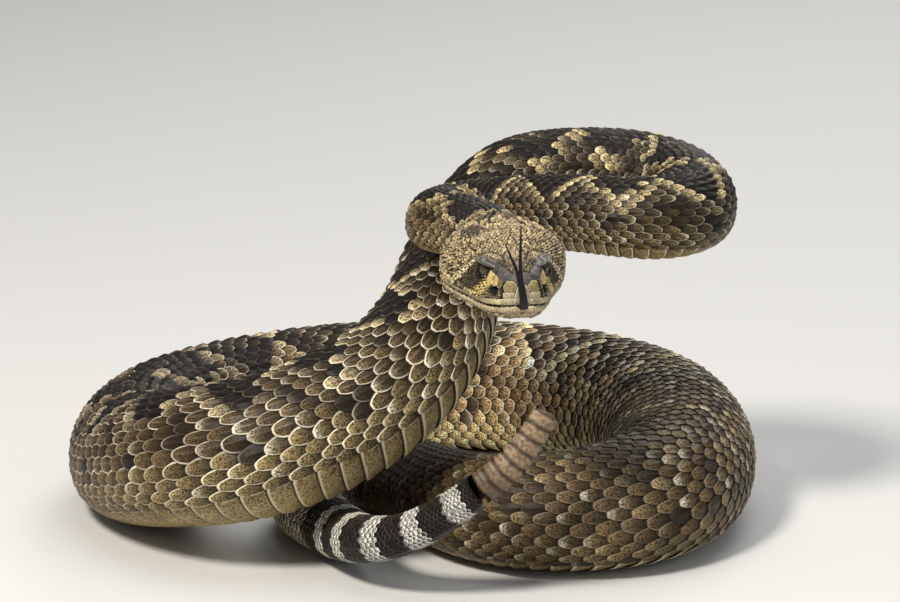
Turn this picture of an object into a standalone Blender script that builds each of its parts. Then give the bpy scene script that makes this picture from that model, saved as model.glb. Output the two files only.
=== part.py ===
# Western diamondback rattlesnake, life size, raised and coiled to strike
# Lengths below are in millimetres; the mesh is built in metres.
# The route's own frame has the floor at z = 0 and is moved by CENTRE to stand the model on its box.
import math

import bmesh
import bpy
import numpy as np
from mathutils import Matrix, Vector

MM = 0.001
CENTRE = (-14.73, 84.69)

# Head: snout tip, the way it points and the gap kept between neighbours
SNOUT = Vector((25.6, -52.0, 124.4))
HEAD_YAW = math.radians(9)
HEAD_DIP = math.radians(2)
SEAM = 0.3

# Route of the body's middle from the nape to the rattle's end
ROUTE = (
    (16.5, 5.2, 129.4), (14.8, 16, 129.9), (4, 24.5, 131.5), (-4, 34.5, 131), (-3.5, 46, 128.7),
    (5, 55.5, 128.5), (21, 56.5, 129), (40, 52.5, 129.9), (57, 48.5, 129.3), (72, 46.5, 128.2),
    (85.5, 53.5, 128.1), (91.3, 68.5, 129.7), (87.2, 84.5, 131.8), (74.6, 95.5, 133.2), (57.5, 99.5, 133.5),
    (39, 101.5, 131.9), (22, 101, 128.5), (9.1, 94, 113.3), (2.7, 80.5, 102.5), (-1.9, 63, 89.7),
    (-10.5, 46, 77), (-24.5, 35, 64.5), (-43.8, 30, 54), (-64.2, 28, 46.4), (-84.2, 34, 40.5),
    (-102.4, 52, 34.2), (-119, 88, 22.2), (-122, 120, 22.2), (-110, 156, 22.2), (-80, 184, 22.2),
    (-40, 202, 22.7), (6, 205, 22.8), (50, 192, 22.8), (81, 161, 22.8), (91, 119, 23),
    (89, 72, 23), (73, 34, 22.7), (42, 24, 21.3), (15, 34, 19.3), (-2, 59, 17.3),
    (-9, 84, 15.6), (-20, 100, 14.8), (-38, 104, 14), (-53, 93, 13.1), (-57, 74, 12.3),
    (-50, 52, 11.5), (-38, 29, 11.6), (-31.5, 4, 17.6), (-20.5, -7, 21.3), (-8.4, -15, 28.7),
    (4.3, -20, 38.5), (14.5, -23, 48), (22.7, -25, 55.7), (29, -25.5, 64.5), (35, -24.5, 74.5),
)

# Girth: radius at distances along the route
GIRTH = (
    (0, 11.8), (40, 12.5), (100, 15.2), (150, 17.2), (200, 18.8), (260, 20.4), (300, 22.6), (340, 26.2),
    (380, 28.2), (420, 28.0), (480, 26.4), (560, 26.4), (650, 27.2), (800, 27.4), (860, 26.8), (900, 24.8),
    (960, 20.4), (1010, 16.6), (1050, 14.0), (1090, 12.2), (1130, 10.2), (1180, 7.4), (1200, 6.6),
)
GIRTH_BLEND = 12.0

# Way the back faces at distances along the route
BACK = (
    (0, (0, -0.03, 1)), (40, (0, 0, 1)), (70, (0, 0.2, 1)), (120, (0, 0.25, 1)), (160, (0.1, 0.05, 1)),
    (200, (0, 0.1, 1)), (235, (-0.3, 0.1, 0.9)), (280, (-0.8, 0.15, 0.5)), (340, (-0.65, 0.24, 0.71)),
    (380, (-0.54, 0.42, 0.76)), (420, (-0.14, 0.42, 0.9)), (450, (0.05, 0.1, 1)), (485, (0, 0, 1)),
    (1110, (0, 0, 1)), (1230, (-0.3, 0, 1)),
)

# Lengths of the body, each from one cut to the next
LENGTHS = (
    ("neck", 0), ("neck_left_bend", 30), ("raised_front", 76), ("raised_right_bend", 122),
    ("raised_back", 178), ("rising_top", 232), ("rising_upper", 286), ("rising_lower", 346),
    ("left_bend", 420), ("coil_left", 480), ("coil_back_left", 556), ("coil_back_right", 646),
    ("coil_right_bend", 730), ("coil_right", 790), ("coil_front_right", 850), ("inner_coil", 926),
    ("inner_bend", 986), ("body_end", 1050), ("tail", 1108), ("rattle", 1206),
)

# Section of the body: a little wider than tall, with a flatter belly
BODY_STEP = 0.5
SIDES = 20
WIDTH = 1.03
BELLY = 0.88
BELLY_FLATNESS = 0.75

# Belly scutes: one length of plate, the step at its rear edge and how far round they reach
SCUTE = 13.0
SCUTE_STEP = 0.7
SCUTE_EDGE = 1.4
SCUTE_REACH = math.radians(52)
SCUTE_FADE = math.radians(12)

# Rattle: the lobed segments and their groove, each segment given as share of its length and size there
RATTLE_SEGMENTS = 7
RATTLE_SIDES = 14
RATTLE_LOBE = 0.10
RATTLE_TALL = 6.4
RATTLE_WIDE = 3.9
RATTLE_TAPER = 0.82
RATTLE_END = 0.55
RATTLE_STEPS = ((0.0, 0.8), (0.22, 1.0), (0.62, 1.0), (0.86, 0.92))

# Head: distances back from the snout tip with half width and heights there
HALF_WIDTH = ((0, 4.4), (1.2, 6.6), (3, 7.8), (6, 8.9), (8.5, 10.1), (11.5, 10.8), (18, 13.2), (24, 15.0),
              (30, 18.0), (36, 21.3), (42, 23.0), (47, 22.3), (52, 18.4), (56, 14.2), (58, 12.6))
CROWN = ((0, 3.2), (1.2, 5.8), (3, 7.1), (6, 7.9), (11.5, 8.6), (18, 9.3), (24, 10.2), (30, 11.4), (38, 12.8),
         (45, 13.8), (51, 14.3), (58, 14.7))
WIDEST = ((0, -2.6), (5, -4.2), (11.5, -5.4), (20, -5.4), (30, -4.2), (38, -2.4), (44, -0.6), (50, 1.2),
          (58, 3.0))
LIP = ((-8, -3.6), (0, -3.6), (5, -5.0), (11.5, -6.2), (20, -6.8), (30, -6.4), (38, -5.4), (46, -4.0))
THROAT = ((0, -5.4), (1.2, -7.4), (3, -8.9), (8, -10.2), (15, -11.2), (25, -11.9), (38, -12.0), (46, -11.0),
          (52, -9.0), (58, -7.2))
SQUARE = ((0, 2.6), (6, 3.1), (12, 3.5), (20, 3.4), (28, 3.0), (40, 2.7), (50, 2.4), (58, 2.0))
HEAD_RINGS = (0.0, 0.5, 1.3, 2.6, 4.4, 6.8, 9.2, 11.6, 14, 16.4, 18.8, 21.4, 24.4, 27.6, 30.8, 34, 37.2, 40.2,
              43.2, 46.2, 49.2, 52, 54.8, 57.85)
CROWN_STEPS = 8
CHEEK_SHARES = (0.75, 0.2)
CHEEK_INSET = 0.15
THROAT_STEPS = 5
THROAT_ROUND = 0.85
LIP_SWELL = 0.5
LIP_HEIGHT = 3.0
LIP_BLEND = 0.4
LIP_DROP = 0.3
JAW_INSET = 0.6
JAW_FADE = 8.0
MOUTH_CORNER = 38.0
JAW_REAR = 47.0

# Cutters: how far the mouth block and the tongue's channel reach
MOUTH_FRONT = -6.0
MOUTH_SIDE = 30.0
MOUTH_LOW = -24.0
MOUTH_POINTS = 16
CHANNEL_BACK = 3.0
CHANNEL_HALF = 2.15
CHANNEL_LOW = -5.1
CHANNEL_TOP = -2.85

EYE = Vector((9.6, 18.3, 4.9))
EYE_RADIUS = 2.8
BROW = Vector((9.9, 18.2, 7.8))
BROW_RADII = (3.4, 5.7, 1.5)
BROW_ROLL = math.radians(14)
PIT = Vector((9.4, 6.4, 0.3))
PIT_RADII = (1.6, 2.3, 1.0)
NOSTRIL = Vector((7.3, 2.9, 3.3))
NOSTRIL_RADIUS = 1.05
BALL_DETAIL = (20, 12)
BROW_DETAIL = (16, 8)
HOLLOW_DETAIL = (12, 8)

# Tongue: stem and tines in the head's own frame (across, back from the snout, up)
TONGUE_STEM = ((0, 2.7, -3.95), (0, -1.5, -4.1), (-0.3, -5, -3.2), (-0.9, -7.6, 0.2), (-1.8, -8.6, 5),
               (-2.6, -8.4, 10))
TONGUE_TINES = (
    ((-2.3, -8.5, 8.4), (-2.5, -8.2, 12.0), (-2.3, -7.4, 17.5), (-2.0, -6.4, 23), (-1.8, -5.6, 27.4)),
    ((-2.9, -8.5, 8.4), (-3.6, -8.3, 11.8), (-5.2, -8.0, 15.4), (-6.6, -7.7, 18.6), (-7.7, -7.4, 21.6)),
)
TONGUE_WIDTHS = (1.75, 1.25)
TONGUE_THICKNESSES = (0.75, 0.7)
TONGUE_SIDES = 10
TONGUE_STEP = 1.3
TINE_RADII = (0.62, 0.28)
TINE_SIDES = 8
TINE_STEP = 2.0

# Colours and roughness from the photo
SKINS = {
    "tan": ((0.30, 0.20, 0.10), 0.55),
    "neck": ((0.34, 0.23, 0.12), 0.55),
    "tail": ((0.12, 0.11, 0.10), 0.55),
    "rattle": ((0.36, 0.22, 0.11), 0.5),
    "jaw": ((0.52, 0.42, 0.24), 0.55),
    "eye": ((0.10, 0.07, 0.03), 0.15),
    "tongue": ((0.012, 0.010, 0.014), 0.25),
}


def clear_scene():
    for obj in list(bpy.data.objects):
        bpy.data.objects.remove(obj, do_unlink=True)


def collection(name):
    made = bpy.data.collections.new(name)
    bpy.context.scene.collection.children.link(made)
    return made


def material(name):
    found = bpy.data.materials.get(name)
    if found:
        return found
    colour, rough = SKINS[name]
    made = bpy.data.materials.new(name)
    made.use_nodes = True
    shader = made.node_tree.nodes["Principled BSDF"]
    shader.inputs["Base Color"].default_value = (*colour, 1)
    shader.inputs["Roughness"].default_value = rough
    shader.inputs["Metallic"].default_value = 0
    return made


def spline(points, step):
    """Cubic B-spline that keeps its end points, sampled evenly along its length."""
    p = np.array(points, float)
    p = np.vstack([2 * p[0] - p[1], p, 2 * p[-1] - p[-2]])
    t = np.linspace(0, 1, 24, endpoint=False)[:, None]
    basis = ((1 - t) ** 3, 3 * t ** 3 - 6 * t ** 2 + 4, -3 * t ** 3 + 3 * t ** 2 + 3 * t + 1, t ** 3)
    spans = [sum(b * p[i + k] for k, b in enumerate(basis)) / 6 for i in range(len(p) - 3)]
    curve = np.vstack(spans + [p[-2:-1]])
    far = np.concatenate([[0], np.cumsum(np.linalg.norm(np.diff(curve, axis=0), axis=1))])
    at = np.arange(0, far[-1], step)
    return at, np.stack([np.interp(at, far, curve[:, k]) for k in range(3)], -1)


def ease(values, width):
    """Blend a row of values with its neighbours."""
    reach = int(3 * width)
    weights = np.exp(-0.5 * (np.arange(-reach, reach + 1) / width) ** 2)
    return np.convolve(np.pad(values, reach, mode="edge"), weights / weights.sum(), "valid")


def table(rows, x):
    rows = np.array(rows, float)
    return float(np.interp(x, rows[:, 0], rows[:, 1]))


class Body:
    """Middle line of the snake with its radius and the way its back faces."""

    def __init__(self):
        self.at, self.points = spline(ROUTE, BODY_STEP)
        step = self.at[1]
        rows = np.array(GIRTH)
        self.radius = ease(np.interp(self.at, rows[:, 0], rows[:, 1]), GIRTH_BLEND / step)
        self.along = np.gradient(self.points, self.at, axis=0)
        self.along /= np.linalg.norm(self.along, axis=1)[:, None]
        hints = np.array([[far, *way] for far, way in BACK], float)
        hinted = [np.interp(self.at, hints[:, 0], hints[:, k]) for k in (1, 2, 3)]
        backs = np.stack([ease(values, GIRTH_BLEND / step) for values in hinted], -1)
        backs -= self.along * np.sum(backs * self.along, axis=1)[:, None]
        self.back = backs / np.linalg.norm(backs, axis=1)[:, None]
        self.side = np.cross(self.back, self.along)
        self.end = float(self.at[-1])

    def frame(self, far):
        def pick(rows):
            return Vector([float(np.interp(far, self.at, rows[:, k])) for k in range(3)])
        along = pick(self.along).normalized()
        back = pick(self.back)
        back = (back - along * back.dot(along)).normalized()
        return pick(self.points), along, back, back.cross(along), float(np.interp(far, self.at, self.radius))


def to_world(point):
    return Vector(((point.x - CENTRE[0]) * MM, (point.y - CENTRE[1]) * MM, point.z * MM))


def solid(name, rings, skin, home):
    """Closed loft through rings of equal count, with flat ends."""
    mesh = bpy.data.meshes.new(name)
    bm = bmesh.new()
    rows = [[bm.verts.new(to_world(p)) for p in ring] for ring in rings]
    count = len(rows[0])
    for near, nxt in zip(rows, rows[1:]):
        for k in range(count):
            bm.faces.new((near[k], near[(k + 1) % count], nxt[(k + 1) % count], nxt[k]))
    bm.faces.new(list(reversed(rows[0])))
    bm.faces.new(rows[-1])
    bmesh.ops.recalc_face_normals(bm, faces=bm.faces)
    for face in bm.faces:
        face.smooth = len(face.verts) == 4
    bm.to_mesh(mesh)
    bm.free()
    obj = bpy.data.objects.new(name, mesh)
    obj.data.materials.append(material(skin))
    home.objects.link(obj)
    return obj


def body_ring(body, far, raised, shift=0.0):
    """Section of the body; raised is how far the belly scute stands out there."""
    middle, along, back, side, radius = body.frame(far)
    ring = []
    for k in range(SIDES):
        angle = 2 * math.pi * k / SIDES
        across, up = math.sin(angle), math.cos(angle)
        if up < 0:
            up = -BELLY * (-up) ** BELLY_FLATNESS
        from_belly = abs(angle - math.pi)
        lift = raised * max(0.0, min(1.0, (SCUTE_REACH - from_belly) / SCUTE_FADE))
        point = middle + along * shift
        point = point + side * across * (radius * WIDTH + lift) + back * up * (radius + lift)
        point.z = max(point.z, 0.0)
        ring.append(point)
    return ring


def body_length(body, name, start, stop, home):
    skin = "tail" if name == "tail" else "neck" if "neck" in name else "tan"
    rings = [body_ring(body, start, 0.5 * SCUTE_STEP, SEAM / 2)]
    plates = max(2, round((stop - start) / SCUTE))
    plate = (stop - start) / plates
    for number in range(plates):
        front = start + number * plate
        if number:
            rings.append(body_ring(body, front + SCUTE_EDGE / 2, 0.0))
        rear = front + plate - SCUTE_EDGE / 2
        if number < plates - 1:
            rings.append(body_ring(body, rear, SCUTE_STEP))
    rings.append(body_ring(body, stop, 0.5 * SCUTE_STEP, -SEAM / 2))
    return solid(name, rings, skin, home)


def rattle(body, start, stop, home):
    """Lobed segments, taller than wide, with a groove between each two."""
    rings = []
    segment = (stop - start) / RATTLE_SEGMENTS
    for number in range(RATTLE_SEGMENTS):
        taper = 1 + (RATTLE_TAPER - 1) * number / (RATTLE_SEGMENTS - 1)
        for part, size in RATTLE_STEPS:
            rings.append((start + (number + part) * segment, size * taper))
    rings.append((stop, RATTLE_END * RATTLE_TAPER))
    made = []
    for order, (far, size) in enumerate(rings):
        middle, along, back, side, _ = body.frame(min(far, body.end))
        ring = []
        for k in range(RATTLE_SIDES):
            angle = 2 * math.pi * k / RATTLE_SIDES
            lobe = 1 - RATTLE_LOBE * (1 - math.cos(4 * angle)) / 2
            ring.append(middle + along * (SEAM / 2 if order == 0 else 0)
                        + side * math.sin(angle) * RATTLE_WIDE * size * lobe
                        + back * math.cos(angle) * RATTLE_TALL * size * lobe)
        made.append(ring)
    return solid("rattle", made, "rattle", home)


class Head:
    """The head's own frame: across to the picture's right, back from the snout, up."""

    def __init__(self):
        level = math.cos(HEAD_DIP)
        self.front = Vector((math.sin(HEAD_YAW) * level, -math.cos(HEAD_YAW) * level, -math.sin(HEAD_DIP)))
        self.right = Vector((math.cos(HEAD_YAW), math.sin(HEAD_YAW), 0))
        self.up = self.right.cross(-self.front)

    def place(self, across, back, up):
        return SNOUT + self.right * across - self.front * back + self.up * up

    def matrix(self, point):
        spot = to_world(self.place(*point))
        turn = Matrix((self.right, -self.front, self.up)).transposed().to_4x4()
        return Matrix.Translation(spot) @ turn


def head_ring(head, back):
    half = table(HALF_WIDTH, back)
    crown, widest, lip, throat = (table(rows, back) for rows in (CROWN, WIDEST, LIP, THROAT))
    square = 2 / table(SQUARE, back)
    fade = max(0.0, min(1.0, (JAW_REAR - back) / JAW_FADE))
    right_half = []
    for k in range(CROWN_STEPS + 1):
        angle = math.pi / 2 * k / CROWN_STEPS
        right_half.append((half * math.sin(angle) ** square,
                           widest + (crown - widest) * math.cos(angle) ** square))
    for share in CHEEK_SHARES:
        right_half.append((half - CHEEK_INSET, lip + share * (widest - lip)))
    inner = half - JAW_INSET * fade
    right_half.append((inner, lip - LIP_DROP))
    for k in range(1, THROAT_STEPS + 1):
        angle = math.pi / 2 * (1 - k / THROAT_STEPS)
        right_half.append((inner * math.sin(angle) ** THROAT_ROUND,
                           lip + (throat - lip) * math.cos(angle) ** THROAT_ROUND))
    swelled = []
    for across, up in right_half:
        near = max(0.0, 1 - abs(up - (lip + LIP_HEIGHT / 2)) / (LIP_HEIGHT / 2 + LIP_BLEND))
        swelled.append((across + LIP_SWELL * near * fade * across / half, up))
    ring = [head.place(across, back, up) for across, up in swelled]
    ring += [head.place(-across, back, up) for across, up in reversed(swelled[1:-1])]
    return ring


def jaw_cutter(head, gap, home):
    """Block below the line of the mouth, closed behind by a slope down to the throat."""
    line = [(back, table(LIP, back) + gap) for back in np.linspace(MOUTH_FRONT, MOUTH_CORNER, MOUTH_POINTS)]
    line[-1] = (MOUTH_CORNER + gap, line[-1][1])
    line += [(JAW_REAR + gap, MOUTH_LOW), (MOUTH_FRONT, MOUTH_LOW)]
    rings = [[head.place(across, back, up) for back, up in line] for across in (-MOUTH_SIDE, MOUTH_SIDE)]
    return solid("mouth_cutter", rings, "jaw", home)


def ellipsoid(name, head, place, radii, home, detail, roll=0.0):
    mesh = bpy.data.meshes.new(name)
    bm = bmesh.new()
    turn = head.matrix(place) @ Matrix.Rotation(roll, 4, "Y") @ Matrix.Diagonal((*[r * MM for r in radii], 1))
    bmesh.ops.create_uvsphere(bm, u_segments=detail[0], v_segments=detail[1], radius=1, matrix=turn)
    for face in bm.faces:
        face.smooth = True
    bm.to_mesh(mesh)
    bm.free()
    obj = bpy.data.objects.new(name, mesh)
    home.objects.link(obj)
    return obj


def mirrored(point, way):
    return Vector((point.x * way, point.y, point.z))


def boolean(obj, operation, other):
    """Apply one Boolean and drop the cutter."""
    changed = obj.modifiers.new("cut", "BOOLEAN")
    changed.operation = operation
    changed.object = other
    changed.solver = "EXACT"
    bpy.context.view_layer.update()
    mesh = bpy.data.meshes.new_from_object(obj.evaluated_get(bpy.context.evaluated_depsgraph_get()))
    obj.modifiers.clear()
    obj.data = mesh
    bpy.data.objects.remove(other, do_unlink=True)


def largest_piece(obj):
    """Keep only the closed surface with the most faces."""
    bm = bmesh.new()
    bm.from_mesh(obj.data)
    left = set(bm.faces)
    pieces = []
    while left:
        stack = [left.pop()]
        piece = set(stack)
        while stack:
            for edge in stack.pop().edges:
                for face in edge.link_faces:
                    if face in left:
                        left.remove(face)
                        piece.add(face)
                        stack.append(face)
        pieces.append(piece)
    pieces.sort(key=len)
    drop = [face for piece in pieces[:-1] for face in piece]
    bmesh.ops.delete(bm, geom=drop, context="FACES")
    bm.to_mesh(obj.data)
    bm.free()


def tongue_channel(head, home):
    """Block that leaves room for the tongue between the lips."""
    corners = ((-CHANNEL_HALF, CHANNEL_LOW), (CHANNEL_HALF, CHANNEL_LOW),
               (CHANNEL_HALF, CHANNEL_TOP), (-CHANNEL_HALF, CHANNEL_TOP))
    rings = [[head.place(across, back, up) for across, up in corners] for back in (MOUTH_FRONT, CHANNEL_BACK)]
    return solid("tongue_channel", rings, "jaw", home)


def make_head(head, home, tools):
    rings = [head_ring(head, back) for back in HEAD_RINGS]
    skull = solid("head", rings, "tan", home)
    for way in (-1, 1):
        brow = ellipsoid("brow", head, mirrored(BROW, way), BROW_RADII, tools, BROW_DETAIL, BROW_ROLL * way)
        boolean(skull, "UNION", brow)
    jaw = bpy.data.objects.new("lower_jaw", skull.data.copy())
    home.objects.link(jaw)
    jaw.data.materials.clear()
    jaw.data.materials.append(material("jaw"))
    boolean(skull, "DIFFERENCE", jaw_cutter(head, SEAM / 2, tools))
    boolean(jaw, "INTERSECT", jaw_cutter(head, -SEAM / 2, tools))
    for obj in (skull, jaw):
        boolean(obj, "DIFFERENCE", tongue_channel(head, tools))
    for way in (-1, 1):
        socket = ellipsoid("socket", head, mirrored(EYE, way), [EYE_RADIUS + SEAM] * 3, tools, BALL_DETAIL)
        boolean(skull, "DIFFERENCE", socket)
        pit = ellipsoid("pit", head, mirrored(PIT, way), PIT_RADII, tools, HOLLOW_DETAIL)
        boolean(skull, "DIFFERENCE", pit)
        radii = [NOSTRIL_RADIUS] * 3
        nostril = ellipsoid("nostril", head, mirrored(NOSTRIL, way), radii, tools, HOLLOW_DETAIL)
        boolean(skull, "DIFFERENCE", nostril)
    largest_piece(skull)
    largest_piece(jaw)
    for way, name in ((-1, "eye_right"), (1, "eye_left")):
        eye = ellipsoid(name, head, mirrored(EYE, way), [EYE_RADIUS] * 3, home, BALL_DETAIL)
        eye.data.materials.append(material("eye"))


def tube(name, head, points, wide, thick, home, sides, step):
    """Tapering tube through points of the head's frame; sizes go from start to end."""
    _, line = spline(points, step)
    ways = np.gradient(line, axis=0)
    rings = []
    for order, (point, way) in enumerate(zip(line, ways)):
        share = order / (len(line) - 1)
        way = Vector(way).normalized()
        across = Vector((1, 0, 0))
        across = (across - way * across.dot(way)).normalized()
        face = way.cross(across)
        ring = []
        for k in range(sides):
            angle = 2 * math.pi * k / sides
            spot = Vector(point) + across * math.cos(angle) * (wide[0] + (wide[1] - wide[0]) * share)
            spot = spot + face * math.sin(angle) * (thick[0] + (thick[1] - thick[0]) * share)
            ring.append(head.place(*spot))
        rings.append(ring)
    return solid(name, rings, "tongue", home)


def make_tongue(head, home, tools):
    stem = tube("tongue", head, TONGUE_STEM, TONGUE_WIDTHS, TONGUE_THICKNESSES, home,
                TONGUE_SIDES, TONGUE_STEP)
    for points in TONGUE_TINES:
        tine = tube("tine", head, points, TINE_RADII, TINE_RADII, tools, TINE_SIDES, TINE_STEP)
        boolean(stem, "UNION", tine)
    largest_piece(stem)


def main():
    clear_scene()
    home = collection("western_diamondback_rattlesnake")
    tools = collection("cutters")
    body = Body()
    head = Head()
    make_head(head, home, tools)
    make_tongue(head, home, tools)
    for order, (name, start) in enumerate(LENGTHS):
        stop = LENGTHS[order + 1][1] if order + 1 < len(LENGTHS) else body.end
        if name == "rattle":
            rattle(body, start, stop, home)
        else:
            body_length(body, name, start, stop, home)


main()
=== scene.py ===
# Looks of the western diamondback rattlesnake: one skin, scales as mesh, head, eyes, tongue and rattle
# Lengths are in millimetres in the snake's own frame, and MM turns them into metres.
import math

import bpy
import numpy as np
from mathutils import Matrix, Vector
from mathutils.bvhtree import BVHTree

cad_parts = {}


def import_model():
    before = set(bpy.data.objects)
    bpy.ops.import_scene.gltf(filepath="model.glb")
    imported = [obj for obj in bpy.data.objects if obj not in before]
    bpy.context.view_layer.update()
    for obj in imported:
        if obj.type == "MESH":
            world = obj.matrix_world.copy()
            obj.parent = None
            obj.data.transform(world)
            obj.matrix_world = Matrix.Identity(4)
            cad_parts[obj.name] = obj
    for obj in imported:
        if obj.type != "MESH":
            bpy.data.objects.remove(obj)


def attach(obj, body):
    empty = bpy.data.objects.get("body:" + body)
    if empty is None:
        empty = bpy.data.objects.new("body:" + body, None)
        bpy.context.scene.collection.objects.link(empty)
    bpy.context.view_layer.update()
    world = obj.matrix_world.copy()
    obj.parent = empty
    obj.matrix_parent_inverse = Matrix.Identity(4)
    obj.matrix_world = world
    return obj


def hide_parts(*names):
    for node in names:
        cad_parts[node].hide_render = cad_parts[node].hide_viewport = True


MM = 0.001
CENTRE = (-14.73, 84.69)
SEED = 7

# Camera that sees the snake as the photo does
CAMERA_PLACE = (0.0, -1759.9, 548.4)
CAMERA_DIP = 14.0
CAMERA_LENS = 200.0
CAMERA_SENSOR = 36.0

# Route of the body's middle from the nape to the rattle's end
ROUTE = (
    (16.5, 5.2, 129.4), (14.8, 16, 129.9), (4, 24.5, 131.5), (-4, 34.5, 131), (-3.5, 46, 128.7),
    (5, 55.5, 128.5), (21, 56.5, 129), (40, 52.5, 129.9), (57, 48.5, 129.3), (72, 46.5, 128.2),
    (85.5, 53.5, 128.1), (91.3, 68.5, 129.7), (87.2, 84.5, 131.8), (74.6, 95.5, 133.2), (57.5, 99.5, 133.5),
    (39, 101.5, 131.9), (22, 101, 128.5), (9.1, 94, 113.3), (2.7, 80.5, 102.5), (-1.9, 63, 89.7),
    (-10.5, 46, 77), (-24.5, 35, 64.5), (-43.8, 30, 54), (-64.2, 28, 46.4), (-84.2, 34, 40.5),
    (-102.4, 52, 34.2), (-119, 88, 22.2), (-122, 120, 22.2), (-110, 156, 22.2), (-80, 184, 22.2),
    (-40, 202, 22.7), (6, 205, 22.8), (50, 192, 22.8), (81, 161, 22.8), (91, 119, 23),
    (89, 72, 23), (73, 34, 22.7), (42, 24, 21.3), (15, 34, 19.3), (-2, 59, 17.3),
    (-9, 84, 15.6), (-20, 100, 14.8), (-38, 104, 14), (-53, 93, 13.1), (-57, 74, 12.3),
    (-50, 52, 11.5), (-38, 29, 11.6), (-31.5, 4, 17.6), (-20.5, -7, 21.3), (-8.4, -15, 28.7),
    (4.3, -20, 38.5), (14.5, -23, 48), (22.7, -25, 55.7), (29, -25.5, 64.5), (35, -24.5, 74.5),
)
GIRTH = (
    (0, 11.8), (40, 12.5), (100, 15.2), (150, 17.2), (200, 18.8), (260, 20.4), (300, 22.6), (340, 26.2),
    (380, 28.2), (420, 28.0), (480, 26.4), (560, 26.4), (650, 27.2), (800, 27.4), (860, 26.8), (900, 24.8),
    (960, 20.4), (1010, 16.6), (1050, 14.0), (1090, 12.2), (1130, 10.2), (1180, 7.4), (1200, 6.6),
)
GIRTH_BLEND = 12.0
BACK = (
    (0, (0, -0.03, 1)), (40, (0, 0, 1)), (70, (0, 0.2, 1)), (120, (0, 0.25, 1)), (160, (0.1, 0.05, 1)),
    (200, (0, 0.1, 1)), (235, (-0.3, 0.1, 0.9)), (280, (-0.8, 0.15, 0.5)), (340, (-0.65, 0.24, 0.71)),
    (380, (-0.54, 0.42, 0.76)), (420, (-0.14, 0.42, 0.9)), (450, (0.05, 0.1, 1)), (485, (0, 0, 1)),
    (1110, (0, 0, 1)), (1230, (-0.3, 0, 1)),
)
TAIL_START = 1108.0
TAIL_END = 1206.0
BODY_NODES = (
    "neck", "neck_left_bend", "raised_front", "raised_right_bend", "raised_back", "rising_top",
    "rising_upper", "rising_lower", "left_bend", "coil_left", "coil_back_left", "coil_back_right",
    "coil_right_bend", "coil_right", "coil_front_right", "inner_coil", "inner_bend", "body_end", "tail",
)

# Section of the body, how deep the skin lies under the scales' tops and where folds hold no scale
WIDTH = 1.03
BELLY = 0.88
BELLY_FLATNESS = 0.75
COAT = 0.034
FOLD = 0.25
SKIN_STEP = 2.5

# Scales: rows round the back, their share of the girth and their overlap
ROWS = 27
TAIL_ROWS = 21
ROWS_CHANGE = 1062.0
DORSAL = math.radians(131)
BELLY_REACH = math.radians(54)
PITCH = 0.248
SCALE_LONG = 1.52
SCALE_WIDE = 1.46
SCUTE_LONG = 1.22
FULL_GIRTH = 27.0
COAT_CUTS = (0, 80, 180, 330, 520, 720, 900, 1010, 1110, 1206)

# Points along and across one scale, and which of them the small ones towards the tail keep
SCALE_T = np.array((0, 0.22, 0.42, 0.56, 0.68, 0.79, 0.88, 0.94, 0.975, 1.0))
SCALE_V = np.array((-1, -0.92, -0.78, -0.45, -0.13, 0, 0.13, 0.45, 0.78, 0.92, 1))
COARSE_FROM = 1010
COARSE_T = (0, 2, 3, 5, 6, 8, 9)
COARSE_V = (0, 2, 3, 5, 7, 8, 10)

# Markings: diamonds along the back, blotches on the flanks and rings on the tail
DIAMOND_NECK = 25.0
DIAMOND_BODY = 36.0
DIAMOND_GROWTH = (60, 420)
DIAMOND_ROWS = 6.6
DIAMOND_START = 0.35
TAIL_WHITE = 1195.5
TAIL_RING = 19.0
TAIL_FADE = (TAIL_START - 14, TAIL_START + 4)

# Flank blotches: 0 beside a diamond or 1 between two, row, half length, rows, strength, core, noise limit
BLOTCHES = ((0, 9.3, 5.0, 1.2, 0.85, 0.7, 0.9), (1, 6.6, 5.5, 1.3, 0.75, 0.6, 0.8))

# Distances along over which the markings and rims change, with painted light on the neck and back coil and
# painted shade on the rims of the neck and rise
NECK_LIGHTENED = (40, 120)
WORN = (250, 420)
RISE_PAINTED_SHADE = (250, 350)
BACK_COIL = (560, 660)
BACK_COIL_END = (740, 820)
FRONT_FADE = (740, 830)
FRONT_DULL = (740, 840)
FRONT_END = (1000, 1060)

GROUND = np.array((0.118, 0.070, 0.029))
GROUND_PALE = np.array((0.235, 0.160, 0.070))
CREAM = np.array((0.720, 0.560, 0.270))
CREAM_WORN = np.array((0.560, 0.450, 0.260))
DARK = np.array((0.011, 0.008, 0.007))
BROWN = np.array((0.055, 0.034, 0.020))
BELLY_COLOUR = np.array((0.490, 0.370, 0.170))
ASH = np.array((0.720, 0.700, 0.660))
BLACK = np.array((0.006, 0.006, 0.007))
RIM = np.array((0.920, 0.850, 0.660))
SPECKLE = (0.012, 0.009, 0.006, 1)
GAP_SHADE = (0.018, 0.013, 0.009, 1)
GRAIN_SHADE = (0.010, 0.007, 0.005, 1)

# Skin's unwrap: strips of the body and one of the head, and how wide a scale's patch is there
STRIPS = 5
UV_PATCH = 0.003

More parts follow.
